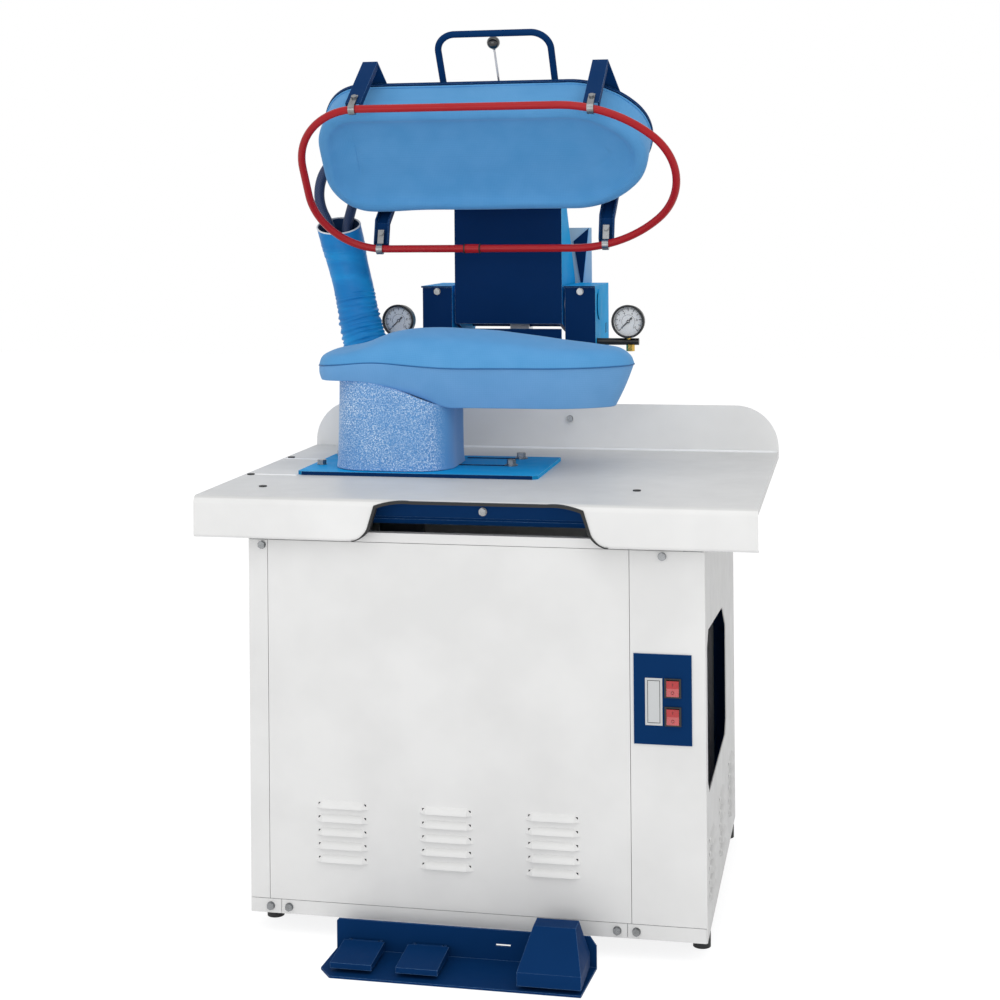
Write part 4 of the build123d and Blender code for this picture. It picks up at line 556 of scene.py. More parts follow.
NODE_FINISHES = {
    Finishes.CABINET: ("left_side_panel", "right_side_panel", "rear_panel", "front_door",
                       "control_column", "front_rails"),
    Finishes.TABLE: ("table_top", "backguard"),
    Finishes.NAVY: ("base_frame", "control_plate", "pedal_board", "pedal_left", "pedal_middle",
                    "pedal_main", "head_back_plate", "handle", "bar_brackets"),
    Finishes.TWO_TONE: ("buck_base_plate", "left_upright", "right_upright", "pivot_bearings",
                        "tower_plates", "head_arm"),
    Finishes.SKY: ("tower_rear_guard",),
    Finishes.RED_TUBE: ("safety_tube",),
    Finishes.BLACK_JACKET: ("boiler",),
    Finishes.ZINC: ("frame_bolts", "tube_clips", "hose_bulkhead", "head_fittings"),
    Finishes.GROUND: ("pivot_shaft", "piston_rod", "condensate_tank", "steam_lever"),
    Finishes.CAST: ("head_shell",),
    Finishes.BARREL: ("cylinder_barrel",),
    Finishes.BRASS: ("brass_fittings", "service_fittings"),
    Finishes.IRON: ("vacuum_fan", "feed_pump"),
    Finishes.RUBBER: ("levelling_feet", "rubber_trim", "bar_rubbers"),
    Finishes.ABS: ("switch_housings", "gauge_cases", "gauge_pipes"),
    Finishes.RED_KEY: ("rocker_upper", "rocker_lower"),
    Finishes.LAMINATE: ("legend_plate",),
    Finishes.DIAL: ("gauge_dials",),
    Finishes.INK: ("gauge_needle_left", "gauge_needle_right"),
    Finishes.GLASS: ("gauge_lenses",),
    Finishes.PAD: ("buck_pad", "head_pad"),
    Finishes.UNDER: ("buck_body",),
    Finishes.FLEECE: ("pedestal_cover",),
    Finishes.SLEEVE: ("hose_sleeve",),
    Finishes.HOSE: ("steam_hose", "suction_hose"),
}


def dress_frame() -> None:
    """Gives every CAD node its procedural material."""
    for finish, names in NODE_FINISHES.items():
        for name in names:
            node = frame["nodes"][name]
            if not node.material_slots:
                node.data.materials.append(None)
            for slot in node.material_slots:
                slot.material = finish.value.material()
    bare = [name for name in frame["nodes"]
            if not any(name in names for names in NODE_FINISHES.values())]
    log.info("dressed %d nodes, left bare: %s", len(frame["nodes"]), bare or "none")


# -------------------------------------------------------------------------- mesh building


def piece(name: str, vertices: Sequence[Vector], faces: Sequence[Sequence[int]],
          finishes: Sequence[Finishes], loops: Sequence[tuple[float, float]] = (),
          marks: Sequence[int] = ()) -> bpy.types.Object:
    """A shown mesh object with its finish.

    Args:
        name: The piece's name.
        vertices: Points in the row frame, in metres.
        faces: Vertex numbers of each face.
        finishes: The finishes in its material slots.
        loops: A cloth coordinate for each face corner, in metres.
        marks: The material slot of each face, all first where left out.

    Returns:
        The object, smooth-shaded.
    """
    mesh = bpy.data.meshes.new(name)
    mesh.from_pydata([tuple(v) for v in vertices], [], [tuple(f) for f in faces])
    for finish in finishes:
        mesh.materials.append(finish.value.material())
    if loops:
        layer = mesh.uv_layers.new(name="cloth")
        layer.data.foreach_set("uv", [c for pair in loops for c in pair])
    if marks:
        mesh.polygons.foreach_set("material_index", list(marks))
    mesh.polygons.foreach_set("use_smooth", [True] * len(mesh.polygons))
    mesh.update()
    made = bpy.data.objects.new(name, mesh)
    bpy.context.scene.collection.objects.link(made)
    return made


def skin(name: str, rings: Sequence[Ring], finish: Finishes, inner: Finishes | None = None,
         inner_from: int = 0) -> bpy.types.Object:
    """A surface drawn through rings of drawing points, each joined up with its own start.

    Args:
        name: The piece's name.
        rings: Rows of points, all of one length, in millimetres.
        finish: The finish outside.
        inner: A second finish for the rows from inner_from on.
        inner_from: The first row with the second finish.

    Returns:
        The object, with cloth coordinates in metres along and across its rings.
    """
    count = len(rings[0])
    points = [place(*p) for ring in rings for p in ring]
    widest = max(range(len(rings)), key=lambda k: girth(rings[k]))
    across = [0.0]
    for a, b in zip(rings[widest], rings[widest][1:] + rings[widest][:1]):
        across.append(across[-1] + math.dist(a, b) / 1000)
    along = [0.0]
    for first, second in zip(rings, rings[1:]):
        gaps = [math.dist(a, b) for a, b in zip(first, second)]
        along.append(along[-1] + sum(gaps) / len(gaps) / 1000)
    faces, loops, marks = [], [], []
    for row in range(len(rings) - 1):
        for k in range(count):
            j = (k + 1) % count
            faces.append((row * count + k, row * count + j, (row + 1) * count + j,
                          (row + 1) * count + k))
            loops += [(across[k], along[row]), (across[k + 1], along[row]),
                      (across[k + 1], along[row + 1]), (across[k], along[row + 1])]
            marks.append(1 if inner and row >= inner_from else 0)
    finishes = [finish, inner] if inner else [finish]
    made = piece(name, points, faces, finishes, loops, marks)
    tidy(made)
    return made


def girth(ring: Ring) -> float:
    """Length round a ring."""
    return sum(math.dist(a, b) for a, b in zip(ring, ring[1:] + ring[:1]))


def tidy(made: bpy.types.Object, gap: float = 0.00008) -> None:
    """Merges points that fall together and turns the faces outwards."""
    shape = bmesh.new()
    shape.from_mesh(made.data)
    bmesh.ops.remove_doubles(shape, verts=shape.verts, dist=gap)
    bmesh.ops.dissolve_degenerate(shape, edges=shape.edges, dist=gap / 4)
    bmesh.ops.recalc_face_normals(shape, faces=shape.faces)
    shape.to_mesh(made.data)
    shape.free()


def refine(made: bpy.types.Object, levels: int = 1) -> None:
    """Smooths a piece with a subdivision surface, applied to its mesh."""
    modifier = made.modifiers.new("fine", "SUBSURF")
    modifier.levels = modifier.render_levels = levels
    modifier.boundary_smooth = "PRESERVE_CORNERS"
    apply_modifiers(made)


def apply_modifiers(made: bpy.types.Object) -> None:
    """Puts the modified mesh in place of the plain one."""
    bpy.context.view_layer.update()
    shown = made.evaluated_get(bpy.context.evaluated_depsgraph_get())
    mesh = bpy.data.meshes.new_from_object(shown)
    made.modifiers.clear()
    made.data = mesh


def centreline(points: Sequence[Point], steps: int) -> list[Vector]:
    """Points on the smooth NURBS line that a route's points control.

    Args:
        points: The route's points, in millimetres of the drawing.
        steps: Points of the line for each point of the route.

    Returns:
        The line's points in the row frame, in metres.
    """
    data = bpy.data.curves.new("line", "CURVE")
    data.dimensions = "3D"
    data.resolution_u = steps
    spline = data.splines.new("NURBS")
    spline.points.add(len(points) - 1)
    for control, point in zip(spline.points, points):
        control.co = (*place(*point), 1.0)
    spline.order_u = 3
    spline.use_endpoint_u = True
    curve = bpy.data.objects.new("line", data)
    bpy.context.scene.collection.objects.link(curve)
    mesh = bpy.data.meshes.new_from_object(curve)
    line = [v.co.copy() for v in mesh.vertices]
    bpy.data.meshes.remove(mesh)
    bpy.data.objects.remove(curve)
    bpy.data.curves.remove(data)
    return line


def sweep(line: Sequence[Vector], section: Callable[[float, float], float],
          sides: int) -> list[Ring]:
    """Rings square to a line, with a radius given by place and turn.

    Args:
        line: The line's points in the row frame, in metres.
        section: Radius in millimetres for a distance in millimetres and an angle.
        sides: Points in each ring.

    Returns:
        The rings as drawing points.
    """
    rings, walked = [], 0.0
    # The first ring's zero angle looks along x, or along y where the line itself runs along x.
    side = Vector((0, 1, 0)) if abs((line[1] - line[0]).normalized().x) > 0.999 \
        else Vector((1, 0, 0))
    for k, point in enumerate(line):
        before, after = line[max(k - 1, 0)], line[min(k + 1, len(line) - 1)]
        ahead = (after - before).normalized()
        side = (side - ahead * side.dot(ahead)).normalized()
        other = ahead.cross(side)
        if k:
            walked += (point - line[k - 1]).length * 1000
        ring = []
        for j in range(sides):
            angle = 2 * math.pi * j / sides
            out = side * math.cos(angle) + other * math.sin(angle)
            p = point * 1000 + out * section(walked, angle)
            ring.append((p.x, p.y + DEPTH_MIDDLE, p.z))
        rings.append(ring)
    return rings


def tube(name: str, points: Sequence[Point], radius_mm: float, finish: Finishes,
         sides: int = 12, loop: bool = False) -> bpy.types.Object:
    """A round cord or rod along drawing points, closed at its ends or into a loop."""
    line = [place(*p) for p in points]
    rings = sweep(line, lambda walked, angle: radius_mm, sides)
    if loop:
        rings.append(rings[0])
        return skin(name, rings, finish)
    return skin(name, capped(rings), finish)


def capped(rings: list[Ring]) -> list[Ring]:
    """The rings with a point at each end, which closes the surface."""
    first, last = ([tuple(sum(c) / len(ring) for c in zip(*ring))] * len(ring)
                   for ring in (rings[0], rings[-1]))
    return [first, *rings, last]


def lathe(name: str, profile: Sequence[tuple[float, float]], centre: Point, axis: Vector,
          finish: Finishes, sides: int = 32) -> bpy.types.Object:
    """A turned piece.

    Args:
        name: The piece's name.
        profile: Radius and distance along the axis, in millimetres.
        centre: Where the axis starts, as a drawing point.
        axis: Its direction.
        finish: The piece's finish.
        sides: Points round it.

    Returns:
        The turned object.
    """
    turn = Vector((0, 0, 1)).rotation_difference(axis).to_matrix()
    rings = []
    for radius, along in profile:
        ring = []
        for k in range(sides):
            angle = 2 * math.pi * k / sides
            p = turn @ Vector((radius * math.cos(angle), radius * math.sin(angle), along))
            ring.append((centre[0] + p.x, centre[1] + p.y, centre[2] + p.z))
        rings.append(ring)
    return skin(name, rings, finish)


def ripple(point: Point, size: float, seed: float) -> float:
    """Smooth seeded noise from -1 to 1 at a drawing point, with waves of about size mm."""
    return noise.noise(Vector(point) / size + Vector((seed, seed * 0.7, -seed)))


def ride(made: bpy.types.Object, body: Body, slot: str, *replaced: str) -> bpy.types.Object:
    """Sets a piece on its body, and hides the CAD nodes it stands for."""
    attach(made, body.value)
    if replaced:
        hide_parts(*replaced)
    log.info("%s rides on %s", made.name, body.value)
    return made


# ------------------------------------------------------------------------------- outlines


@dataclass(frozen=True)
class Egg:
    """Egg-shaped plan: rounded corners at the left, a long rounded nose at the right."""

    left: float
    tip: float
    half: float
    nose: float
    tip_radius: float
    corner: float

    def grown(self, by: float) -> "Egg":
        """The parallel outline, by mm outside this one."""
        return Egg(self.left - by, self.tip + by, self.half + by, self.nose + by,
                   self.tip_radius + by, self.corner + by)

    def points(self) -> list[tuple[float, float]]:
        """Plan points round the outline, as many at every size."""
        offset = self.nose - self.tip_radius
        flank = (offset ** 2 + self.half ** 2 - self.tip_radius ** 2) / (
            2 * (self.half - self.tip_radius))
        rise = flank - self.half
        start = self.tip - self.nose
        turn = math.atan2(offset, rise)
        lower: list[tuple[float, float]] = []
        for k in range(4):
            lower.append((self.left, -(self.half - self.corner) * k / 4))
        for k in range(12):
            angle = math.pi / 2 * k / 12
            lower.append((self.left + self.corner * (1 - math.cos(angle)),
                          -(self.half - self.corner * (1 - math.sin(angle)))))
        for k in range(26):
            lower.append((self.left + self.corner + (start - self.left - self.corner) * k / 26,
                          -self.half))
        for k in range(12):
            angle = turn * k / 12
            lower.append((start + flank * math.sin(angle), rise - flank * math.cos(angle)))
        middle = self.tip - self.tip_radius
        for k in range(17):
            angle = -math.pi / 2 + (turn + (math.pi / 2 - turn) * (k / 16))
            lower.append((middle + self.tip_radius * math.cos(angle),
                          self.tip_radius * math.sin(angle)))
        upper = [(x, -y) for x, y in reversed(lower[1:-1])]
        return [(x, PRESS_Y + y) for x, y in lower + upper]


def rounded_box(centre_x: float, centre_y: float, half_x: float, half_y: float,
                corner: float) -> list[tuple[float, float]]:
    """Plan points round a box with rounded corners, as many at every size."""
    made = []
    for quarter, (sx, sy) in enumerate(((1, 1), (-1, 1), (-1, -1), (1, -1))):
        for k in range(10):
            angle = math.pi / 2 * (quarter + k / 9)
            made.append((centre_x + sx * (half_x - corner) + corner * math.cos(angle),
                         centre_y + sy * (half_y - corner) + corner * math.sin(angle)))
        nxt = ((-1, 1), (-1, -1), (1, -1), (1, 1))[quarter]
        end = math.pi / 2 * (quarter + 1)
        a = made[-1]
        b = (centre_x + nxt[0] * (half_x - corner) + corner * math.cos(end),
             centre_y + nxt[1] * (half_y - corner) + corner * math.sin(end))
        made += [mix(a, b, k / 6) for k in range(1, 6)]
    return made


def smooth_line(line: Sequence[tuple[float, float]], x: float) -> float:
    """The height at x of a smooth curve through a line's points."""
    if x <= line[0][0]:
        return line[0][1]
    if x >= line[-1][0]:
        return line[-1][1]
    k = max(i for i in range(len(line) - 1) if line[i][0] <= x)
    (x1, z1), (x2, z2) = line[k], line[k + 1]
    x0, z0 = line[max(k - 1, 0)]
    x3, z3 = line[min(k + 2, len(line) - 1)]
    slope1 = (z2 - z0) / (x2 - x0)
    slope2 = (z3 - z1) / (x3 - x1)
    t = (x - x1) / (x2 - x1)
    h = x2 - x1
    return ((2 * t ** 3 - 3 * t ** 2 + 1) * z1 + (t ** 3 - 2 * t ** 2 + t) * h * slope1
            + (3 * t ** 2 - 2 * t ** 3) * z2 + (t ** 3 - t ** 2) * h * slope2)


# ----------------------------------------------------------------------------- lower buck


def pushed(x: float, y: float, spine: tuple[float, float], step: float) -> tuple[float, float]:
    """A plan point moved step mm away from a spine that runs along x between two ends."""
    out_x, out_y = x - max(min(x, spine[1]), spine[0]), y - PRESS_Y
    length = max(math.hypot(out_x, out_y), 1.0)
    return x + out_x / length * step, y + out_y / length * step


@dataclass
class Buck:
    """Cantilevered lower buck: crowned pad, boat-shaped underside and pedestal cover."""

    outline: Egg = Egg(-406.0, 262.0, 128.0, 182.0, 84.0, 78.0)
    seam: float = 1078.0
    bottom: float = 988.0
    inset: float = 40.0
    left_inset: float = 14.0
    seam_line: tuple[tuple[float, float], ...] = (
        (-406.0, 1073.5), (-340.0, 1079.0), (-270.0, 1083.4), (-200.0, 1078.7), (-150.0, 1075.0),
        (-100.0, 1073.0), (0.0, 1073.7), (150.0, 1074.5), (262.0, 1075.5))
    keel: tuple[tuple[float, float], ...] = (
        (-410.0, 1043.0), (-300.0, 1043.0), (-250.0, 1032.5), (-200.0, 1018.0), (-160.0, 1002.5),
        (-120.0, 988.0), (-80.0, 988.0))
    crown: tuple[tuple[float, float], ...] = (
        (-450.0, 1084.0), (-380.0, 1105.0), (-312.0, 1119.0), (-255.0, 1141.0),
        (-180.0, 1150.0), (-40.0, 1144.0), (100.0, 1127.0), (190.0, 1115.0), (240.0, 1104.0),
        (290.0, 1068.0))
    edge_share: float = 0.42
    wall: tuple[tuple[float, float], ...] = ((0.0, 0.0), (5.0, 20.0), (44.0, 80.0),
                                             (80.0, 140.0), (200.0, 340.0))
    shoulder: float = 20.0
    # Half the gap that the cord fills between pad and underside.
    lap: float = 0.6
    pedestal_x: float = -241.0
    pedestal_half: float = 125.0
    pedestal_top_half: float = 113.0
    pedestal_height: float = 206.0
    pedestal_corner: float = 80.0
    plate_top: float = 858.0
    hem: float = 3.0

    def seam_height(self, x: float) -> float:
        """Height of the seam, which rides up a little over the pedestal."""
        return smooth_line(self.seam_line, x)

    def pad_height(self, x: float, y: float, inset: float) -> float:
        """Height of the pad above its seam at a plan point."""
        top = smooth_line(self.crown, x) - self.seam_height(x)
        across = (y - PRESS_Y) / (self.outline.half + 12)
        crowned = top * (1 - (1 - self.edge_share) * across ** 2)
        k = max(i for i in range(len(self.wall) - 1) if self.wall[i][0] <= inset)
        (d0, h0), (d1, h1) = self.wall[k], self.wall[k + 1]
        wall = h0 + (h1 - h0) * (inset - d0) / (d1 - d0)
        return soft_min(crowned, wall, self.shoulder) if inset > 0.1 else 0.0

    def plan_rings(self) -> list[tuple[float, list[tuple[float, float]]]]:
        """Plan rings from the edge to the middle, each with its inset."""
        rings = [(d, self.outline.grown(-d).points())
                 for d in (0.0, 0.8, 2.0, 3.5, 6.0, 10.0, 15.0, 21.0, 28.0, 36.0, 45.0, 55.0,
                           65.0, 74.0)]
        inner = self.outline.grown(-74.0)
        core = [(min(max(x, inner.left + inner.half), inner.tip - inner.half), PRESS_Y)
                for x, _ in rings[-1][1]]
        for share in (0.25, 0.5, 0.75, 1.0):
            rings.append((74.0 + 54.0 * share,
                          [mix(p, c, share) for p, c in zip(rings[-1 if share == 0.25 else 13][1],
                                                            core)]))
        return rings

    def pad(self) -> bpy.types.Object:
        """The crowned pad, with puckers along its seam."""
        rows = self.plan_rings()
        below = [[(x, y, self.seam_height(x) + self.lap) for x, y in plan]
                 for _, plan in (rows[-1], rows[8], rows[3])]
        rings = below + [[self.pad_point(x, y, inset) for x, y in plan] for inset, plan in rows]
        made = skin("buck_pad_cover", rings, Finishes.PAD)
        refine(made)
        return ride(made, Body.CABINET, "pad_fabric", "buck_pad")

    def pad_point(self, x: float, y: float, inset: float) -> Point:
        """A point of the pad's surface with the cloth's small unevenness."""
        z = self.seam_height(x) + self.lap + self.pad_height(x, y, inset)
        near = math.exp(-inset / 9.0)
        pucker = ripple((x, y, 0.0), 11.0, 3.0) * 0.8 * near
        sway = ripple((x, y, 0.0), 85.0, 9.0) * 1.6 * ease(inset / 40)
        return (*pushed(x, y, (-300.0, 150.0), pucker), z + sway)

    def keel_height(self, x: float) -> float:
        """Height of the underside's keel at x."""
        return smooth_line(self.keel, x)

    def side_ring(self, share: float) -> Ring:
        """A ring of the wall, a share of the way from the seam down to the keel."""
        ring = []
        flat = self.outline.points()
        low = replace(self.outline.grown(-self.inset), left=self.outline.left + self.left_inset)
        for (x0, y0), (x1, y1) in zip(flat, low.points()):
            x, y, z = x0, y0, self.seam
            for _ in range(3):
                top = self.seam_height(x) - self.lap
                z = top + (self.keel_height(x) - top) * share
                x, y = mix((x0, y0), (x1, y1), (self.seam - z) / (self.seam - self.bottom))
            near = math.exp(-(self.seam - z) / 9.0)
            pucker = ripple((x, y, z * 0.3), 11.0, 5.0) * 0.7 * near
            bulge = 2.5 * math.sin(math.pi * min(1.0, max(0.0, share)))
            ring.append((*pushed(x, y, (-290.0, 120.0), pucker + bulge), z))
        return ring

    def body(self) -> bpy.types.Object:
        """The boat-shaped underside with its rounded keel edge."""
        rows = self.plan_rings()
        top = [[(x, y, self.seam_height(x) - self.lap) for x, y in plan]
               for _, plan in (rows[-1], rows[8], rows[3])]
        walls = [self.side_ring(k) for k in (0.0, 0.02, 0.06, 0.14, 0.26, 0.4, 0.55, 0.7, 0.82,
                                             0.9, 0.955, 0.985)]
        edge = self.side_ring(1.0)
        spine = [(min(max(x, -300.0), 150.0), PRESS_Y) for x, _, _ in edge]
        floor = []
        for share in (0.02, 0.06, 0.3, 0.6, 1.0):
            plan = [mix((x, y), c, share) for (x, y, _), c in zip(edge, spine)]
            floor.append([(x, y, self.keel_height(x)) for x, y in plan])
        made = skin("buck_underside_cover", top + walls + floor, Finishes.UNDER)
        refine(made)
        return ride(made, Body.CABINET, "pad_fabric", "buck_body")

    def seam_cord(self) -> bpy.types.Object:
        """Thin cord sunk in the seam all round."""
        plan = self.outline.grown(-0.2).points()
        return ride(tube("buck_seam_cord", [(x, y, self.seam_height(x)) for x, y in plan], 1.1,
                         Finishes.THREAD, 8, loop=True), Body.CABINET, "pad_fabric")

    def pedestal(self) -> bpy.types.Object:
        """Flecked cover round the column, hemmed where it stands on the base plate."""
        levels = (0.0, 0.012, 0.03, 0.06, 0.1, 0.16, 0.24, 0.33, 0.42, 0.51, 0.6, 0.69, 0.78,
                  0.86, 0.93, 0.98, 1.0)
        rings = []
        for level in levels:
            ring = []
            for k, (x, y) in enumerate(self.pedestal_plan(0.0)):
                top = self.keel_height(x) + 1.5
                z = self.plate_top + 0.4 + (top - self.plate_top) * level
                x, y = self.pedestal_plan((z - self.plate_top) / self.pedestal_height)[k]
                flare = self.hem * math.exp(-(z - self.plate_top) / 10.0)
                fold = ripple((x, y, z * 0.35), 55.0, 21.0) * 1.8
                gather = ripple((x, y, 0.0), 14.0, 31.0) * 1.2 * math.exp(
                    -(z - self.plate_top) / 26.0)
                middle = (self.pedestal_x, self.pedestal_x)
                ring.append((*pushed(x, y, middle, flare + fold + gather), z))
            rings.append(ring)
        ends = [[(*mix((x, y), (self.pedestal_x, PRESS_Y), 0.12), z) for x, y, z in ring]
                for ring in (rings[0], rings[-1])]
        made = skin("pedestal_cover_cloth", [ends[0], *rings, ends[1]], Finishes.FLEECE)
        refine(made)
        return ride(made, Body.CABINET, "cover_fabric", "pedestal_cover")

    def pedestal_plan(self, share: float) -> list[tuple[float, float]]:
        """Plan of the pedestal a share of the way up its taper."""
        half_y = self.pedestal_half + (self.pedestal_top_half - self.pedestal_half) * share
        return rounded_box(self.pedestal_x, PRESS_Y, self.pedestal_half, half_y,
                           self.pedestal_corner)

    def build(self) -> None:
        """Makes the buck's covers."""
        self.pad()
        self.body()
        self.seam_cord()
        self.pedestal()


# ----------------------------------------------------------------------------- upper head


@dataclass
class Head:
    """Swinging head: the padded cover with its rolled rim, and the lever of its valve."""

    outline: Egg = Egg(-462.0, 274.0, 136.0, 172.0, 108.0, 96.0)
    rim: float = 1128.0
    top: float = 1232.0
    roll: float = 18.0
    face: tuple[tuple[float, float], ...] = (
        (21.0, 0.2), (25.0, 1.6), (29.0, 5.0), (34.0, 9.5), (41.0, 13.5), (53.0, 16.8),
        (67.0, 19.5), (81.0, 21.5))
    dish_depth: float = 23.0
    lever_x: float = -58.0
    lever_y: float = 297.0
    lever_z: float = 1260.5
    lever_length: float = 112.0
    knob: float = 14.5

    def profile(self) -> list[tuple[float, float]]:
        """Inset and height of the cover's section, from the back plate to the dish."""
        wall = [(8.0, self.top - 0.5), (1.5, self.top - 0.8), (-0.5, self.top - 4.0),
                (0.2, self.top - 14.0), (-0.8, self.top - 34.0), (-1.2, self.top - 58.0),
                (-0.6, self.rim + self.roll + 6)]
        rolled = []
        for k in range(0, 7):
            angle = math.pi / 2 * k / 6
            rolled.append((self.roll * (1 - math.cos(angle)),
                           self.rim + self.roll * (1 - math.sin(angle))))
        return wall + rolled + [(inset, self.rim + rise) for inset, rise in self.face]

    def cover(self) -> bpy.types.Object:
        """The padded cover, dished on its working face."""
        rings = []
        for inset, z in self.profile():
            plan = self.outline.grown(-inset).points()
            rings.append([self.cover_point(x, y, z, inset) for x, y in plan])
        last = self.outline.grown(-self.face[-1][0]).points()
        spine = [(min(max(x, -400.0), 180.0), PRESS_Y) for x, _ in last]
        for share in (0.2, 0.4, 0.6, 0.8, 1.0):
            plan = [mix(p, c, share) for p, c in zip(last, spine)]
            rings.append([self.cover_point(x, y, self.rim + self.dish_depth, 81.0)
                          for x, y in plan])
        back = [[opened(*mix((x, y), c, share), self.top - 0.5) for (x, y), c in
                 zip(self.outline.grown(-8.0).points(), spine)] for share in (1.0, 0.5)]
        made = skin("head_pad_cover", [*back, *rings], Finishes.PAD)
        refine(made)
        return ride(made, Body.HEAD, "pad_fabric", "head_pad")

    def cover_point(self, x: float, y: float, z: float, inset: float) -> Point:
        """A point of the open head's cover, with the sag and puckers of stretched cloth."""
        gather = math.exp(-(self.top - z) / 12.0) * ripple((x, y, 0.0), 13.0, 41.0) * 1.1
        sway = ripple((x, y, z), 120.0, 47.0) * 2.2
        on_wall = 1.0 if inset < 20 else 0.0
        slack = 4.0 * math.exp(-((x + 345) / 70) ** 2) * ease((y - PRESS_Y - 80) / 40) * on_wall
        step = gather + slack + sway * 0.5 * on_wall
        rise = sway * (0.8 if inset >= 20 else 0.0)
        return opened(*pushed(x, y, (-330.0, 150.0), step), z + rise)

    def hem(self) -> bpy.types.Object:
        """Drawcord hem rolled under the back plate's edge."""
        plan = self.outline.grown(0.5).points()
        points = [opened(x, y, self.top - 4.0 + ripple((x, y, 0.0), 24.0, 53.0) * 0.7)
                  for x, y in plan]
        return ride(tube("head_cover_drawcord_hem", points, 2.6, Finishes.PAD, 10, loop=True),
                    Body.HEAD, "pad_fabric")

    def lever(self) -> None:
        """Turned hub, rod and ball knob of the steam lever."""
        up = (Vector(opened(0, 0, 1)) - Vector(opened(0, 0, 0))).normalized()
        out = (Vector(opened(0, -1, 0)) - Vector(opened(0, 0, 0))).normalized()
        hub = lathe("steam_lever_hub", [(5.2, 0.0), (8.4, 0.0), (9.0, 0.8), (9.0, 11.2),
                                        (8.2, 12.0), (5.2, 12.0), (5.2, 0.0)],
                    opened(self.lever_x, self.lever_y, self.lever_z - 6.0), up,
                    Finishes.GROUND, 40)
        ride(hub, Body.LEVER, "ground_steel", "steam_lever")
        reach = self.lever_length - 16.0
        # A collar at the hub, a ground shank and a chamfered neck where the ball screws on.
        shank = [(0.0, 0.0), (3.9, 0.0), (4.3, 0.5), (4.3, 4.2), (3.7, 4.8), (2.9, 5.0),
                 (2.5, 5.8), (2.5, reach - 9.0), (2.2, reach - 8.2), (2.2, reach - 7.0),
                 (3.6, reach - 6.6), (3.6, reach - 3.4), (2.4, reach - 3.0), (2.4, reach),
                 (0.0, reach)]
        rod = lathe("steam_lever_rod", shank, opened(self.lever_x, self.lever_y - 8.2,
                                                     self.lever_z), out, Finishes.GROUND, 28)
        ride(rod, Body.LEVER, "ground_steel")
        r = self.knob
        profile = [(0.0, -r - 1.2), (4.6, -r - 1.2), (5.2, -r + 0.4)]
        for k in range(3, 21):
            angle = math.pi * k / 20
            profile.append((r * math.sin(angle), -r * math.cos(angle)))
        ball = lathe("steam_lever_ball", profile,
                     opened(self.lever_x, self.lever_y - self.lever_length, self.lever_z), out,
                     Finishes.PHENOLIC, 40)
        ride(ball, Body.LEVER, "black_plastic")

    def build(self) -> None:
        """Makes the head's cover and lever."""
        self.cover()
        self.hem()
        self.lever()


# ------------------------------------------------------------------------ hoses and sleeve


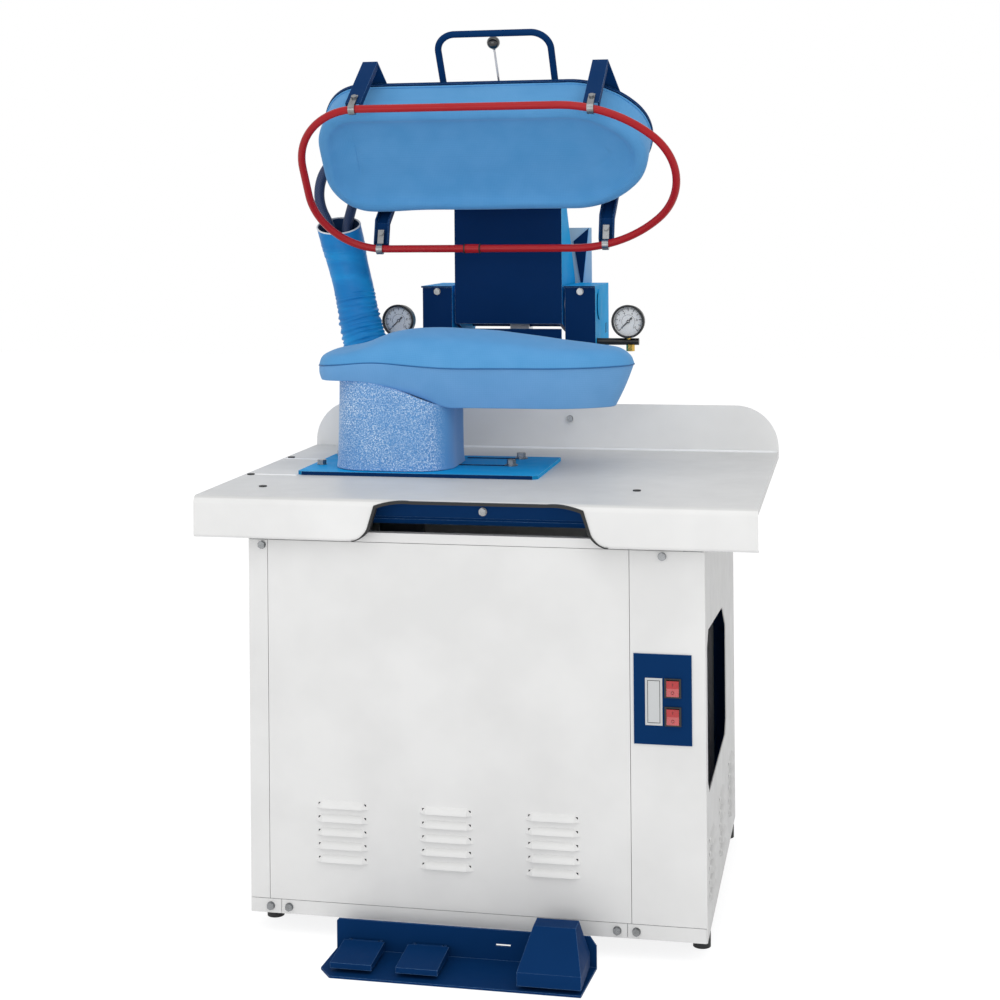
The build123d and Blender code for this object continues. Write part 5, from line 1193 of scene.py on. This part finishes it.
@dataclass
class HoseRun:
    """Steam and suction hoses from the table to the head, in their cloth sleeve."""

    steam: tuple[Point, ...] = (
        (-369.0, 645.0, 884.0), (-369.0, 645.0, 925.0), (-394.0, 666.0, 1020.0),
        (-427.0, 686.0, 1115.0), (-453.0, 694.0, 1215.0), (-470.0, 699.0, 1300.0),
        (-485.0, 704.0, 1365.0), (-515.0, 709.0, 1418.0), (-513.0, 709.0, 1473.0))
    suction: tuple[Point, ...] = (
        (-335.0, 645.0, 884.0), (-335.0, 645.0, 925.0), (-363.0, 664.0, 1020.0),
        (-397.0, 686.0, 1115.0), (-422.0, 698.0, 1215.0), (-439.0, 704.0, 1291.0),
        (-452.0, 711.0, 1352.0), (-444.0, 737.0, 1410.0))
    unions: tuple[tuple[float, float, float, float], ...] = (
        (-418.0, 436.0, 51.5, 47.0), (-392.0, 470.0, 23.0, 54.0))
    union_height: float = 1255.0
    union_length: float = 40.0
    radius: float = 12.0
    sleeve_line: tuple[Point, ...] = (
        (-352.0, 645.0, 850.5), (-352.0, 645.0, 930.0), (-374.0, 667.0, 1025.0),
        (-406.0, 688.0, 1120.0), (-430.0, 697.0, 1235.0), (-452.0, 699.0, 1320.0),
        (-472.0, 700.0, 1400.0))
    sleeve_radius: float = 50.0
    # Radius added along the sleeve, from its foot up: a waist, and a flared mouth.
    waist: tuple[tuple[float, float], ...] = (
        (0.0, 0.0), (180.0, 0.5), (260.0, 0.0), (290.0, -1.0), (350.0, -4.0), (430.0, -4.0),
        (480.0, -1.5), (520.0, 1.0), (600.0, 2.2))
    cloth: float = 1.8
    lining_gap: float = 6.5
    mouth: float = 470.0
    rim_front: float = 1350.0
    rim_rear: float = 1388.0
    rim_y: float = 700.0
    rim_half: float = 51.0
    cut_from: float = 1180.0

    def union_end(self, union: tuple[float, float, float, float], beyond: float) -> Point:
        """The point of a head union's outlet axis that far beyond its tip."""
        x, y, turn, _ = union
        reach = self.union_length + beyond
        angle = math.radians(turn)
        return opened(x - reach * math.sin(angle), y + reach * math.cos(angle),
                      self.union_height)

    def hose(self, name: str, middle: Sequence[Point],
             union: tuple[float, float, float, float], node: str) -> None:
        """One hose, bent between the table and the head, drawn with the head open."""
        route = [*middle, self.union_end(union, union[3]), self.union_end(union, 0.0)]
        line = centreline(route, 6)
        rings = sweep(line, lambda walked, angle: self.radius, 24)
        made = skin(name, capped(rings), Finishes.HOSE)
        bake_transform(made)
        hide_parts(node)
        self.collar(name, union)

    def collar(self, name: str, union: tuple[float, float, float, float]) -> None:
        """Crimped collar of a hose's end, with two rolled grooves and turned edges."""
        r = self.radius
        profile = [(r - 0.4, 2.0), (r + 1.0, 2.0), (r + 1.7, 2.8), (r + 1.7, 6.6), (r + 0.8, 7.4),
                   (r + 0.8, 9.4), (r + 1.7, 10.2), (r + 1.7, 17.4), (r + 0.8, 18.2),
                   (r + 0.8, 20.2), (r + 1.7, 21.0), (r + 1.7, 25.0), (r + 1.0, 26.0),
                   (r - 0.4, 26.0), (r - 0.4, 2.0)]
        near, far = (Vector(self.union_end(union, d)) for d in (0.0, 1.0))
        collar = lathe(f"{name}_crimp_collar", profile, tuple(near), (far - near).normalized(),
                       Finishes.ZINC, 40)
        ride(collar, Body.HEAD, "zinc_steel")

    def fold(self, walked: float, angle: float) -> float:
        """How far the folds of the slack cloth move its surface, in millimetres."""
        here = (math.cos(angle), math.sin(angle))
        total = 0.0
        for height, deep, tall, tilt, facing in SLEEVE_FOLDS:
            middle = (height + tilt * math.sin(angle - facing)
                      + 3.0 * ripple((here[0] * 50, here[1] * 50, height * 2), 42.0, 61.0))
            at = (walked - middle) / tall
            if abs(at) > 3.0:
                continue
            share = 0.75 + 0.8 * ripple((here[0] * 60, here[1] * 60, height * 3), 60.0, 67.0)
            total += deep * max(0.15, share) * (0.75 * math.exp(-(at - 1.0) ** 2 * 1.4)
                                                - math.exp(-at * at * 3.2))
        return total

    def sleeve(self) -> None:
        """Loose cloth sleeve, in folds where it has slid down, its inside painted dark navy as
        shade, and a white lining hem round its rim.
        """
        line = centreline(self.sleeve_line, 34)

        def plain(walked: float, angle: float) -> float:
            broad = ripple((math.cos(angle) * 60, math.sin(angle) * 60, walked), 110.0, 61.0)
            return self.sleeve_radius + smooth_line(self.waist, walked) + broad * 1.6

        def outside(walked: float, angle: float) -> float:
            small = ripple((math.cos(angle) * 50, math.sin(angle) * 50, walked * 1.6), 26.0, 67.0)
            return plain(walked, angle) + self.fold(walked, angle) + small * 0.5

        def inside(walked: float, angle: float) -> float:
            share = ease((walked - self.mouth) / 40)
            below = plain(walked, angle) - self.lining_gap
            return below + (outside(walked, angle) - self.cloth - below) * share

        outer = self.cut_to_rim(sweep(line, outside, 96), 0.0)
        inner = self.cut_to_rim(sweep(line, inside, 96), -0.8)
        hem = [mix(a, b, 0.5) for a, b in zip(outer[-1], inner[-1])]
        # The inside's dark navy cloth is painted shade down the sleeve's mouth.
        made = skin("hose_sleeve_cloth", [*outer, hem, *inner[::-1], outer[0]], Finishes.SLEEVE,
                    inner=Finishes.SLEEVE_INSIDE_PAINTED_SHADE, inner_from=len(outer))
        ride(made, Body.CABINET, "sleeve_fabric", "hose_sleeve")
        ride(tube("hose_sleeve_rim_hem", hem, 2.0, Finishes.LINING, 10, loop=True),
             Body.CABINET, "sleeve_fabric")

    def rim_height(self, y: float) -> float:
        """Height of the slanted open rim at a depth."""
        front = self.rim_y - self.rim_half
        slope = (self.rim_rear - self.rim_front) / (2 * self.rim_half)
        return self.rim_front + (y - front) * slope

    def cut_to_rim(self, rings: list[Ring], drop: float) -> list[Ring]:
        """Squeezes the rings' last stretch so that the tube ends on the slanted rim."""
        made = []
        for ring in rings:
            low = min(p[2] for p in ring)
            if low < self.cut_from:
                made.append(ring)
                continue
            row = []
            for k, (x, y, z) in enumerate(ring):
                first = next(r[k] for r in rings if min(p[2] for p in r) >= self.cut_from)
                last = rings[-1][k]
                share = (z - first[2]) / max(last[2] - first[2], 1.0)
                goal = self.rim_height(y) + drop
                z = first[2] + (goal - first[2]) * share
                reach = (z - first[2]) / max(last[2] - first[2], 1.0)
                row.append((x + (last[0] - first[0]) * (reach - share),
                            y + (last[1] - first[1]) * (reach - share), z))
            made.append(row)
        return made

    def build(self) -> None:
        """Makes both hoses and the sleeve."""
        self.hose("steam_hose_braided", self.steam, self.unions[0], "steam_hose")
        self.hose("suction_hose_braided", self.suction, self.unions[1], "suction_hose")
        self.sleeve()


# Folds of the sleeve: distance up it, depth, height and tilt in mm, and the side it faces.
SLEEVE_FOLDS: tuple[tuple[float, float, float, float, float], ...] = (
    (36.0, 2.0, 8.0, 3.0, 1.0), (62.0, 1.6, 8.0, -4.0, 4.0), (92.0, 2.4, 8.0, 4.0, 2.2),
    (118.0, 2.0, 7.0, -3.0, 5.0), (140.0, 2.6, 7.0, 4.0, 3.1), (160.0, 2.4, 6.5, -4.0, 0.6),
    (180.0, 2.8, 6.5, 5.0, 4.4), (198.0, 3.0, 6.0, -4.0, 1.8), (214.0, 2.6, 5.5, 3.0, 5.4),
    (229.0, 3.2, 5.5, 4.0, 3.4), (243.0, 2.8, 5.0, -5.0, 0.9), (256.0, 3.6, 5.0, 3.0, 4.2),
    (266.5, 2.6, 4.2, -3.0, 2.5), (276.0, 3.2, 4.2, 4.0, 5.8), (287.0, 3.6, 4.5, -3.0, 3.6),
    (298.0, 2.8, 4.2, 4.0, 1.3), (308.5, 3.8, 4.5, 3.0, 4.9), (320.0, 3.4, 4.5, -4.0, 2.9),
    (333.0, 2.4, 4.5, 3.0, 0.3), (343.5, 2.2, 4.2, -3.0, 4.0), (354.0, 3.2, 4.5, 4.0, 3.2),
    (366.5, 1.8, 4.2, -3.0, 5.1), (377.0, 1.4, 4.2, 2.0, 1.7), (430.0, 0.5, 5.0, 3.0, 3.9),
    (484.0, 0.9, 5.0, -4.0, 4.4), (500.0, 1.5, 4.5, 4.0, 2.8), (512.0, 1.1, 4.2, -3.0, 5.2),
)


# ----------------------------------------------------------------- gauges, switches, trims


@dataclass
class Gauges:
    """Printed scales, pointers and bezels of the two pressure gauges."""

    places: tuple[tuple[str, float], ...] = (("left", -351.0), ("right", 198.0))
    height: float = 1142.0
    face_y: float = 808.9
    case_y: float = 802.0
    radius: float = 34.0
    sweep_start: float = -135.0
    sweep: float = 270.0
    numbers: tuple[str, ...] = ("0", "2", "4", "6", "8", "10")
    thick: float = 0.25
    # Inner and outer radius of the scale's two arcs.
    arcs: tuple[tuple[float, float], ...] = ((31.0, 31.8), (15.0, 15.6))
    number_size: float = 0.0078
    bezel: float = 38.6

    def build(self) -> None:
        """Prints both dials and closes each case with its bezel."""
        for side, x in self.places:
            faces = self.marks(x)
            made = self.join(f"gauge_scale_{side}", faces)
            ride(made, Body.CABINET, "dial_white")
            self.needle(side, x)
            inner, outer = self.radius - 0.6, self.bezel
            ring = lathe(f"gauge_bezel_{side}",
                         [(inner, -0.1), (outer, -0.1), (outer, 1.6), (outer - 0.9, 2.5),
                          (outer - 3.0, 2.9), (inner + 0.7, 2.2), (inner, 1.4), (inner, -0.1)],
                         (x, self.case_y, self.height), Vector((0, -1, 0)), Finishes.ABS, 64)
            ride(ring, Body.CABINET, "black_plastic")

    def needle(self, side: str, x: float) -> None:
        """Lance-shaped pointer with its counterweight and a domed hub."""
        outline = [(-1.0, -4.6), (-2.4, -9.6), (-1.9, -11.8), (0.0, -12.6), (1.9, -11.8),
                   (2.4, -9.6), (1.0, -4.6), (1.5, 0.0), (1.35, 12.0), (0.55, 21.5), (0.0, 25.0),
                   (-0.55, 21.5), (-1.35, 12.0), (-1.5, 0.0)]
        angle = math.radians(self.sweep_start)
        rows = []
        for shrink, y in ((0.6, 4.42), (0.0, 4.42), (0.0, 5.0), (0.25, 5.18), (0.6, 5.18)):
            row = []
            for across, up in outline:
                across *= 1 - shrink
                up = up * (1 - shrink) + 3.0 * shrink
                row.append((x + across * math.cos(angle) + up * math.sin(angle),
                            self.case_y + 9.6 - y,
                            self.height - across * math.sin(angle) + up * math.cos(angle)))
            rows.append(row)
        made = skin(f"gauge_pointer_{side}", capped(rows), Finishes.INK)
        shade_flat(made)
        body = Body.LEFT_NEEDLE if side == "left" else Body.RIGHT_NEEDLE
        ride(made, body, "needle_black", f"gauge_needle_{side}")
        hub = lathe(f"gauge_pointer_hub_{side}",
                    [(1.55, 0.0), (4.0, 0.0), (4.0, 0.9), (3.4, 1.5), (2.2, 1.75), (1.55, 1.75),
                     (1.55, 0.0)],
                    (x, self.case_y + 5.6, self.height), Vector((0, -1, 0)), Finishes.INK, 32)
        ride(hub, body, "needle_black")

    def polar(self, x: float, radius: float, degrees: float) -> Point:
        """A point on a dial, from its top clockwise as seen from the front."""
        angle = math.radians(degrees)
        return (x + radius * math.sin(angle), self.face_y,
                self.height + radius * math.cos(angle))

    def marks(self, x: float) -> list[list[Point]]:
        """The scale's strokes as outlines."""
        strokes = []
        for k in range(51):
            degrees = self.sweep_start + self.sweep * k / 50
            inner, half = (24.6, 0.75) if k % 5 == 0 else (27.6, 0.34)
            strokes.append(self.stroke(x, degrees, inner, self.arcs[0][0], half))
        for k in range(60):
            first = self.sweep_start + self.sweep * k / 60
            second = self.sweep_start + self.sweep * (k + 1) / 60
            for inner, outer in self.arcs:
                strokes.append([self.polar(x, radius, degrees) for radius, degrees in
                                ((inner, first), (inner, second), (outer, second),
                                 (outer, first))])
        return strokes

    def stroke(self, x: float, degrees: float, inner: float, outer: float,
               half: float) -> list[Point]:
        """A radial stroke of the scale."""
        angle = math.radians(degrees)
        side = (math.cos(angle) * half, -math.sin(angle) * half)
        ends = [self.polar(x, r, degrees) for r in (inner, outer)]
        return [(ends[0][0] - side[0], ends[0][1], ends[0][2] - side[1]),
                (ends[1][0] - side[0], ends[1][1], ends[1][2] - side[1]),
                (ends[1][0] + side[0], ends[1][1], ends[1][2] + side[1]),
                (ends[0][0] + side[0], ends[0][1], ends[0][2] + side[1])]

    def join(self, name: str, outlines: list[list[Point]]) -> bpy.types.Object:
        """The strokes and numbers as one thin printed mesh."""
        vertices: list[Vector] = []
        faces: list[list[int]] = []
        for outline in outlines:
            base = len(vertices)
            vertices += [place(px, self.face_y - lift, pz) for lift in (0.0, self.thick)
                         for px, _, pz in outline]
            faces += [[base, base + 1, base + 2, base + 3],
                      [base + 7, base + 6, base + 5, base + 4]]
            faces += [[base + k, base + 4 + k, base + 4 + (k + 1) % 4, base + (k + 1) % 4]
                      for k in range(4)]
        made = piece(name, vertices, faces, [Finishes.INK])
        x = self.places[0][1] if name.endswith("left") else self.places[1][1]
        for k, text in enumerate(self.numbers):
            degrees = self.sweep_start + self.sweep * k / (len(self.numbers) - 1)
            self.letter(made, text, self.polar(x, 20.2, degrees))
        tidy(made, 0.00001)
        return made

    def letter(self, onto: bpy.types.Object, text: str, centre: Point) -> None:
        """Adds a printed number to a mesh."""
        data = bpy.data.curves.new("number", "FONT")
        data.body = text
        data.size = self.number_size
        data.extrude = self.thick / 2000
        data.align_x, data.align_y = "CENTER", "CENTER"
        holder = bpy.data.objects.new("number", data)
        bpy.context.scene.collection.objects.link(holder)
        bpy.context.view_layer.update()
        mesh = bpy.data.meshes.new_from_object(holder)
        mesh.transform(Matrix.Translation(place(*centre)) @ Matrix.Rotation(math.pi / 2, 4, "X"))
        mesh.materials.clear()
        shape = bmesh.new()
        shape.from_mesh(onto.data)
        shape.from_mesh(mesh)
        shape.to_mesh(onto.data)
        shape.free()
        bpy.data.objects.remove(holder)
        bpy.data.curves.remove(data)
        bpy.data.meshes.remove(mesh)


@dataclass
class Controls:
    """Marks on the rocker keys and the bare legend plate's border."""

    x: float = 381.5
    levels: tuple[tuple[str, float, Body], ...] = (("upper", 510.0, Body.UPPER_ROCKER),
                                                   ("lower", 457.5, Body.LOWER_ROCKER))
    face_y: float = -8.5
    valley_y: float = -6.6
    half: float = 14.5
    legend: tuple[float, float, float, float] = (330.0, 362.0, 440.0, 527.5)
    legend_y: float = -3.2

    def build(self) -> None:
        """Makes the marks and the border."""
        for name, level, body in self.levels:
            bar = self.plate(f"rocker_{name}_on_mark", self.x - 0.7, self.x + 0.7, level + 4.6,
                             level + 10.4, level)
            ride(bar, body, "red_plastic")
            ring = []
            for k in range(24):
                angle = 2 * math.pi * k / 24
                z = level - 7.4 + 2.6 * math.cos(angle)
                ring.append((self.x + 2.6 * math.sin(angle), self.key_face(z, level) - 0.05, z))
            ride(tube(f"rocker_{name}_off_mark", ring, 0.5, Finishes.KEY_INK, 8, loop=True),
                 body, "red_plastic")
        x0, x1, z0, z1 = self.legend
        y = self.legend_y
        border = []
        for inset in (4.2, 5.2):
            border.append([(x0 + inset, y + 0.42, z0 + inset), (x1 - inset, y + 0.42, z0 + inset),
                           (x1 - inset, y + 0.42, z1 - inset), (x0 + inset, y + 0.42, z1 - inset)])
        rows = [border[0], [(px, py - 0.2, pz) for px, py, pz in border[0]],
                [(px, py - 0.2, pz) for px, py, pz in border[1]], border[1], border[0]]
        made = skin("legend_plate_border", rows, Finishes.INK)
        shade_flat(made)
        ride(made, Body.CABINET, "legend_white")

    def key_face(self, z: float, level: float) -> float:
        """Depth of the key's V face at a height."""
        return self.valley_y + (self.face_y - self.valley_y) * abs(z - level) / self.half

    def plate(self, name: str, x0: float, x1: float, z0: float, z1: float,
              level: float) -> bpy.types.Object:
        """A thin raised bar on a key's face."""
        rows = []
        for lift, grow in ((-0.1, 0.0), (0.25, 0.0), (0.35, -0.15)):
            rows.append([(x, self.key_face(z, level) - lift, z) for x, z in
                         ((x0 - grow, z0 - grow), (x1 + grow, z0 - grow), (x1 + grow, z1 + grow),
                          (x0 - grow, z1 + grow))])
        made = skin(name, capped(rows), Finishes.KEY_INK)
        shade_flat(made)
        return made


def shade_flat(made: bpy.types.Object) -> None:
    """Turns smooth shading off."""
    made.data.polygons.foreach_set("use_smooth", [False] * len(made.data.polygons))


@dataclass
class Sealing:
    """Sealing compound on the table, and the dust caps over the shaft's bores."""

    # Name, left end, right end, y, height above the table and radius of each bead.
    beads: tuple[tuple[str, float, float, float, float, float], ...] = (
        ("backguard_sealing_bead", -442.0, 540.0, 762.3, 1.0, 3.4),
        ("table_seam_bead_front", -537.0, -429.0, 262.0, -0.8, 2.8),
        ("table_seam_bead_rear", -537.0, -444.0, 508.0, -0.8, 2.8))
    # Name, outer face and direction of each upright's dust cap.
    caps: tuple[tuple[str, float, float], ...] = (
        ("shaft_dust_cap_left", -287.0, -1.0), ("shaft_dust_cap_right", 124.0, 1.0))
    shaft_y: float = 850.0
    shaft_z: float = 1180.0

    def bead(self, name: str, left: float, right: float, y: float, lift: float,
             radius: float) -> None:
        """Runs one bead, slightly uneven as it is laid by hand."""
        count = max(12, int((right - left) / 16))
        points = [(left + (right - left) * k / count, y, TABLE_Z + lift)
                  for k in range(count + 1)]
        line = [place(*p) for p in points]
        rings = sweep(line, lambda walked, angle: radius + 0.15 * radius
                      * ripple((walked, math.cos(angle) * 8, 0.0), 34.0, 71.0), 12)
        made = skin(name, capped(rings), Finishes.SEALANT)
        ride(made, Body.CABINET, "cabinet_white")

    def build(self) -> None:
        """Makes the beads and the caps."""
        for bead in self.beads:
            self.bead(*bead)
        disc = [(0.0, -0.4), (36.0, -0.4), (36.0, 1.5), (35.2, 2.4), (33.4, 2.8), (0.0, 3.0)]
        for name, x, way in self.caps:
            cap = lathe(name, disc, (x, self.shaft_y, self.shaft_z), Vector((way, 0, 0)),
                        Finishes.TWO_TONE, 64)
            ride(cap, Body.CABINET, "navy_paint")


# --------------------------------------------------------------------------------- studio


@dataclass
class Studio:
    """Pale floor, soft light and the camera of the photograph."""

    eye: Point = (735.3, -3299.7, 1377.7)
    yaw: float = 0.20134
    roll: float = -0.00799
    focal_px: float = 1784.46
    image_px: float = 1000.0
    centre_px: float = 220.7
    sensor: float = 36.0
    floor_half: float = 14.0
    world: float = 0.72
    glow: float = 0.86
    shadow: float = 0.28
    # Name, place, aim, width and height in metres, and power of each softbox.
    softboxes: tuple[tuple[str, Point, Point, float, float, float], ...] = (
        ("front_softbox", (-500.0, -4600.0, 1200.0), (-150.0, 300.0, 950.0), 4.2, 2.2, 46.0),
        ("top_softbox", (700.0, -1200.0, 3600.0), (0.0, 400.0, 800.0), 3.4, 3.0, 28.0))

    def build(self) -> None:
        """Makes the camera, the floor and the lights."""
        self.camera()
        self.floor()
        self.lights()

    def camera(self) -> None:
        """A lens shifted as the photograph's, level, turned to the left."""
        data = bpy.data.cameras.new("camera")
        data.sensor_width = self.sensor
        data.lens = self.focal_px / self.image_px * self.sensor
        data.shift_y = (self.centre_px - self.image_px / 2) / self.image_px
        data.clip_end = 60.0
        holder = bpy.data.objects.new("camera", data)
        bpy.context.scene.collection.objects.link(holder)
        turn = (Matrix.Rotation(self.yaw, 4, "Z") @ Matrix.Rotation(math.pi / 2, 4, "X")
                @ Matrix.Rotation(self.roll, 4, "Z"))
        holder.matrix_world = Matrix.Translation(place(*self.eye)) @ turn
        bpy.context.scene.camera = holder

    def floor(self) -> None:
        """A wide pale floor."""
        half = self.floor_half
        corners = [Vector((x, y, 0.0)) for x, y in ((-half, -half), (half, -half), (half, half),
                                                    (-half, half))]
        made = piece("studio_floor", corners, [(0, 1, 2, 3)], [])
        made.data.materials.append(self.floor_material())

    def floor_material(self) -> bpy.types.Material:
        """Matt white paper that reads as the white ground behind the press."""
        made = bpy.data.materials.new("studio_paper_white")
        made.use_nodes = True
        tree = made.node_tree
        tree.nodes.clear()
        paper = add_node(tree, "ShaderNodeBsdfDiffuse", {"Color": linear("#F7F7F8")})
        dark = add_node(tree, "ShaderNodeBsdfDiffuse", {"Color": (*[self.shadow] * 3, 1)})
        glow = add_node(tree, "ShaderNodeEmission", {"Strength": self.glow})
        shown = add_node(tree, "ShaderNodeAddShader", {0: dark.outputs[0], 1: glow.outputs[0]})
        both = add_node(tree, "ShaderNodeMixShader",
                        {0: self.seen(tree), 1: paper.outputs[0], 2: shown.outputs[0]})
        add_node(tree, "ShaderNodeOutputMaterial", {"Surface": both.outputs[0]})
        return made

    def seen(self, tree: bpy.types.NodeTree) -> bpy.types.NodeSocket:
        """One for the rays that show the ground: the camera's, and those off metal and glass."""
        path = add_node(tree, "ShaderNodeLightPath")
        shiny = add_node(tree, "ShaderNodeMath", {0: path.outputs["Is Glossy Ray"],
                                                  1: path.outputs["Is Transmission Ray"]},
                         operation="MAXIMUM")
        both = add_node(tree, "ShaderNodeMath", {0: path.outputs["Is Camera Ray"],
                                                 1: shiny.outputs[0]}, operation="MAXIMUM")
        return both.outputs[0]

    def lights(self) -> None:
        """A white surround and two softboxes, one in front and one overhead."""
        world = bpy.data.worlds.new("studio")
        bpy.context.scene.world = world
        world.use_nodes = True
        tree = world.node_tree
        tree.nodes.clear()
        dim = add_node(tree, "ShaderNodeBackground", {"Color": (1, 1, 1, 1),
                                                      "Strength": self.world})
        bright = add_node(tree, "ShaderNodeBackground", {"Color": (1, 1, 1, 1),
                                                         "Strength": 1.0})
        both = add_node(tree, "ShaderNodeMixShader", {0: self.seen(tree), 1: dim.outputs[0],
                                                      2: bright.outputs[0]})
        add_node(tree, "ShaderNodeOutputWorld", {"Surface": both.outputs[0]})
        for name, where, aim, width, height, power in self.softboxes:
            data = bpy.data.lights.new(name, "AREA")
            data.shape = "RECTANGLE"
            data.size, data.size_y, data.energy = width, height, power
            lamp = bpy.data.objects.new(name, data)
            bpy.context.scene.collection.objects.link(lamp)
            away = place(*where) - place(*aim)
            lamp.matrix_world = (Matrix.Translation(place(*where))
                                 @ away.to_track_quat("Z", "Y").to_matrix().to_4x4())
        bpy.context.scene.view_settings.view_transform = "Standard"


def main() -> None:
    """Builds the studio and every piece of the press."""
    logging.basicConfig(level=logging.INFO, format="%(name)s: %(message)s")
    Studio().build()
    dress_frame()
    HoseRun().build()
    for assembly in (Buck(), Head(), Gauges(), Controls(), Sealing()):
        assembly.build()
        log.info("%s is built", type(assembly).__name__)


if __name__ == "__main__":
    main()
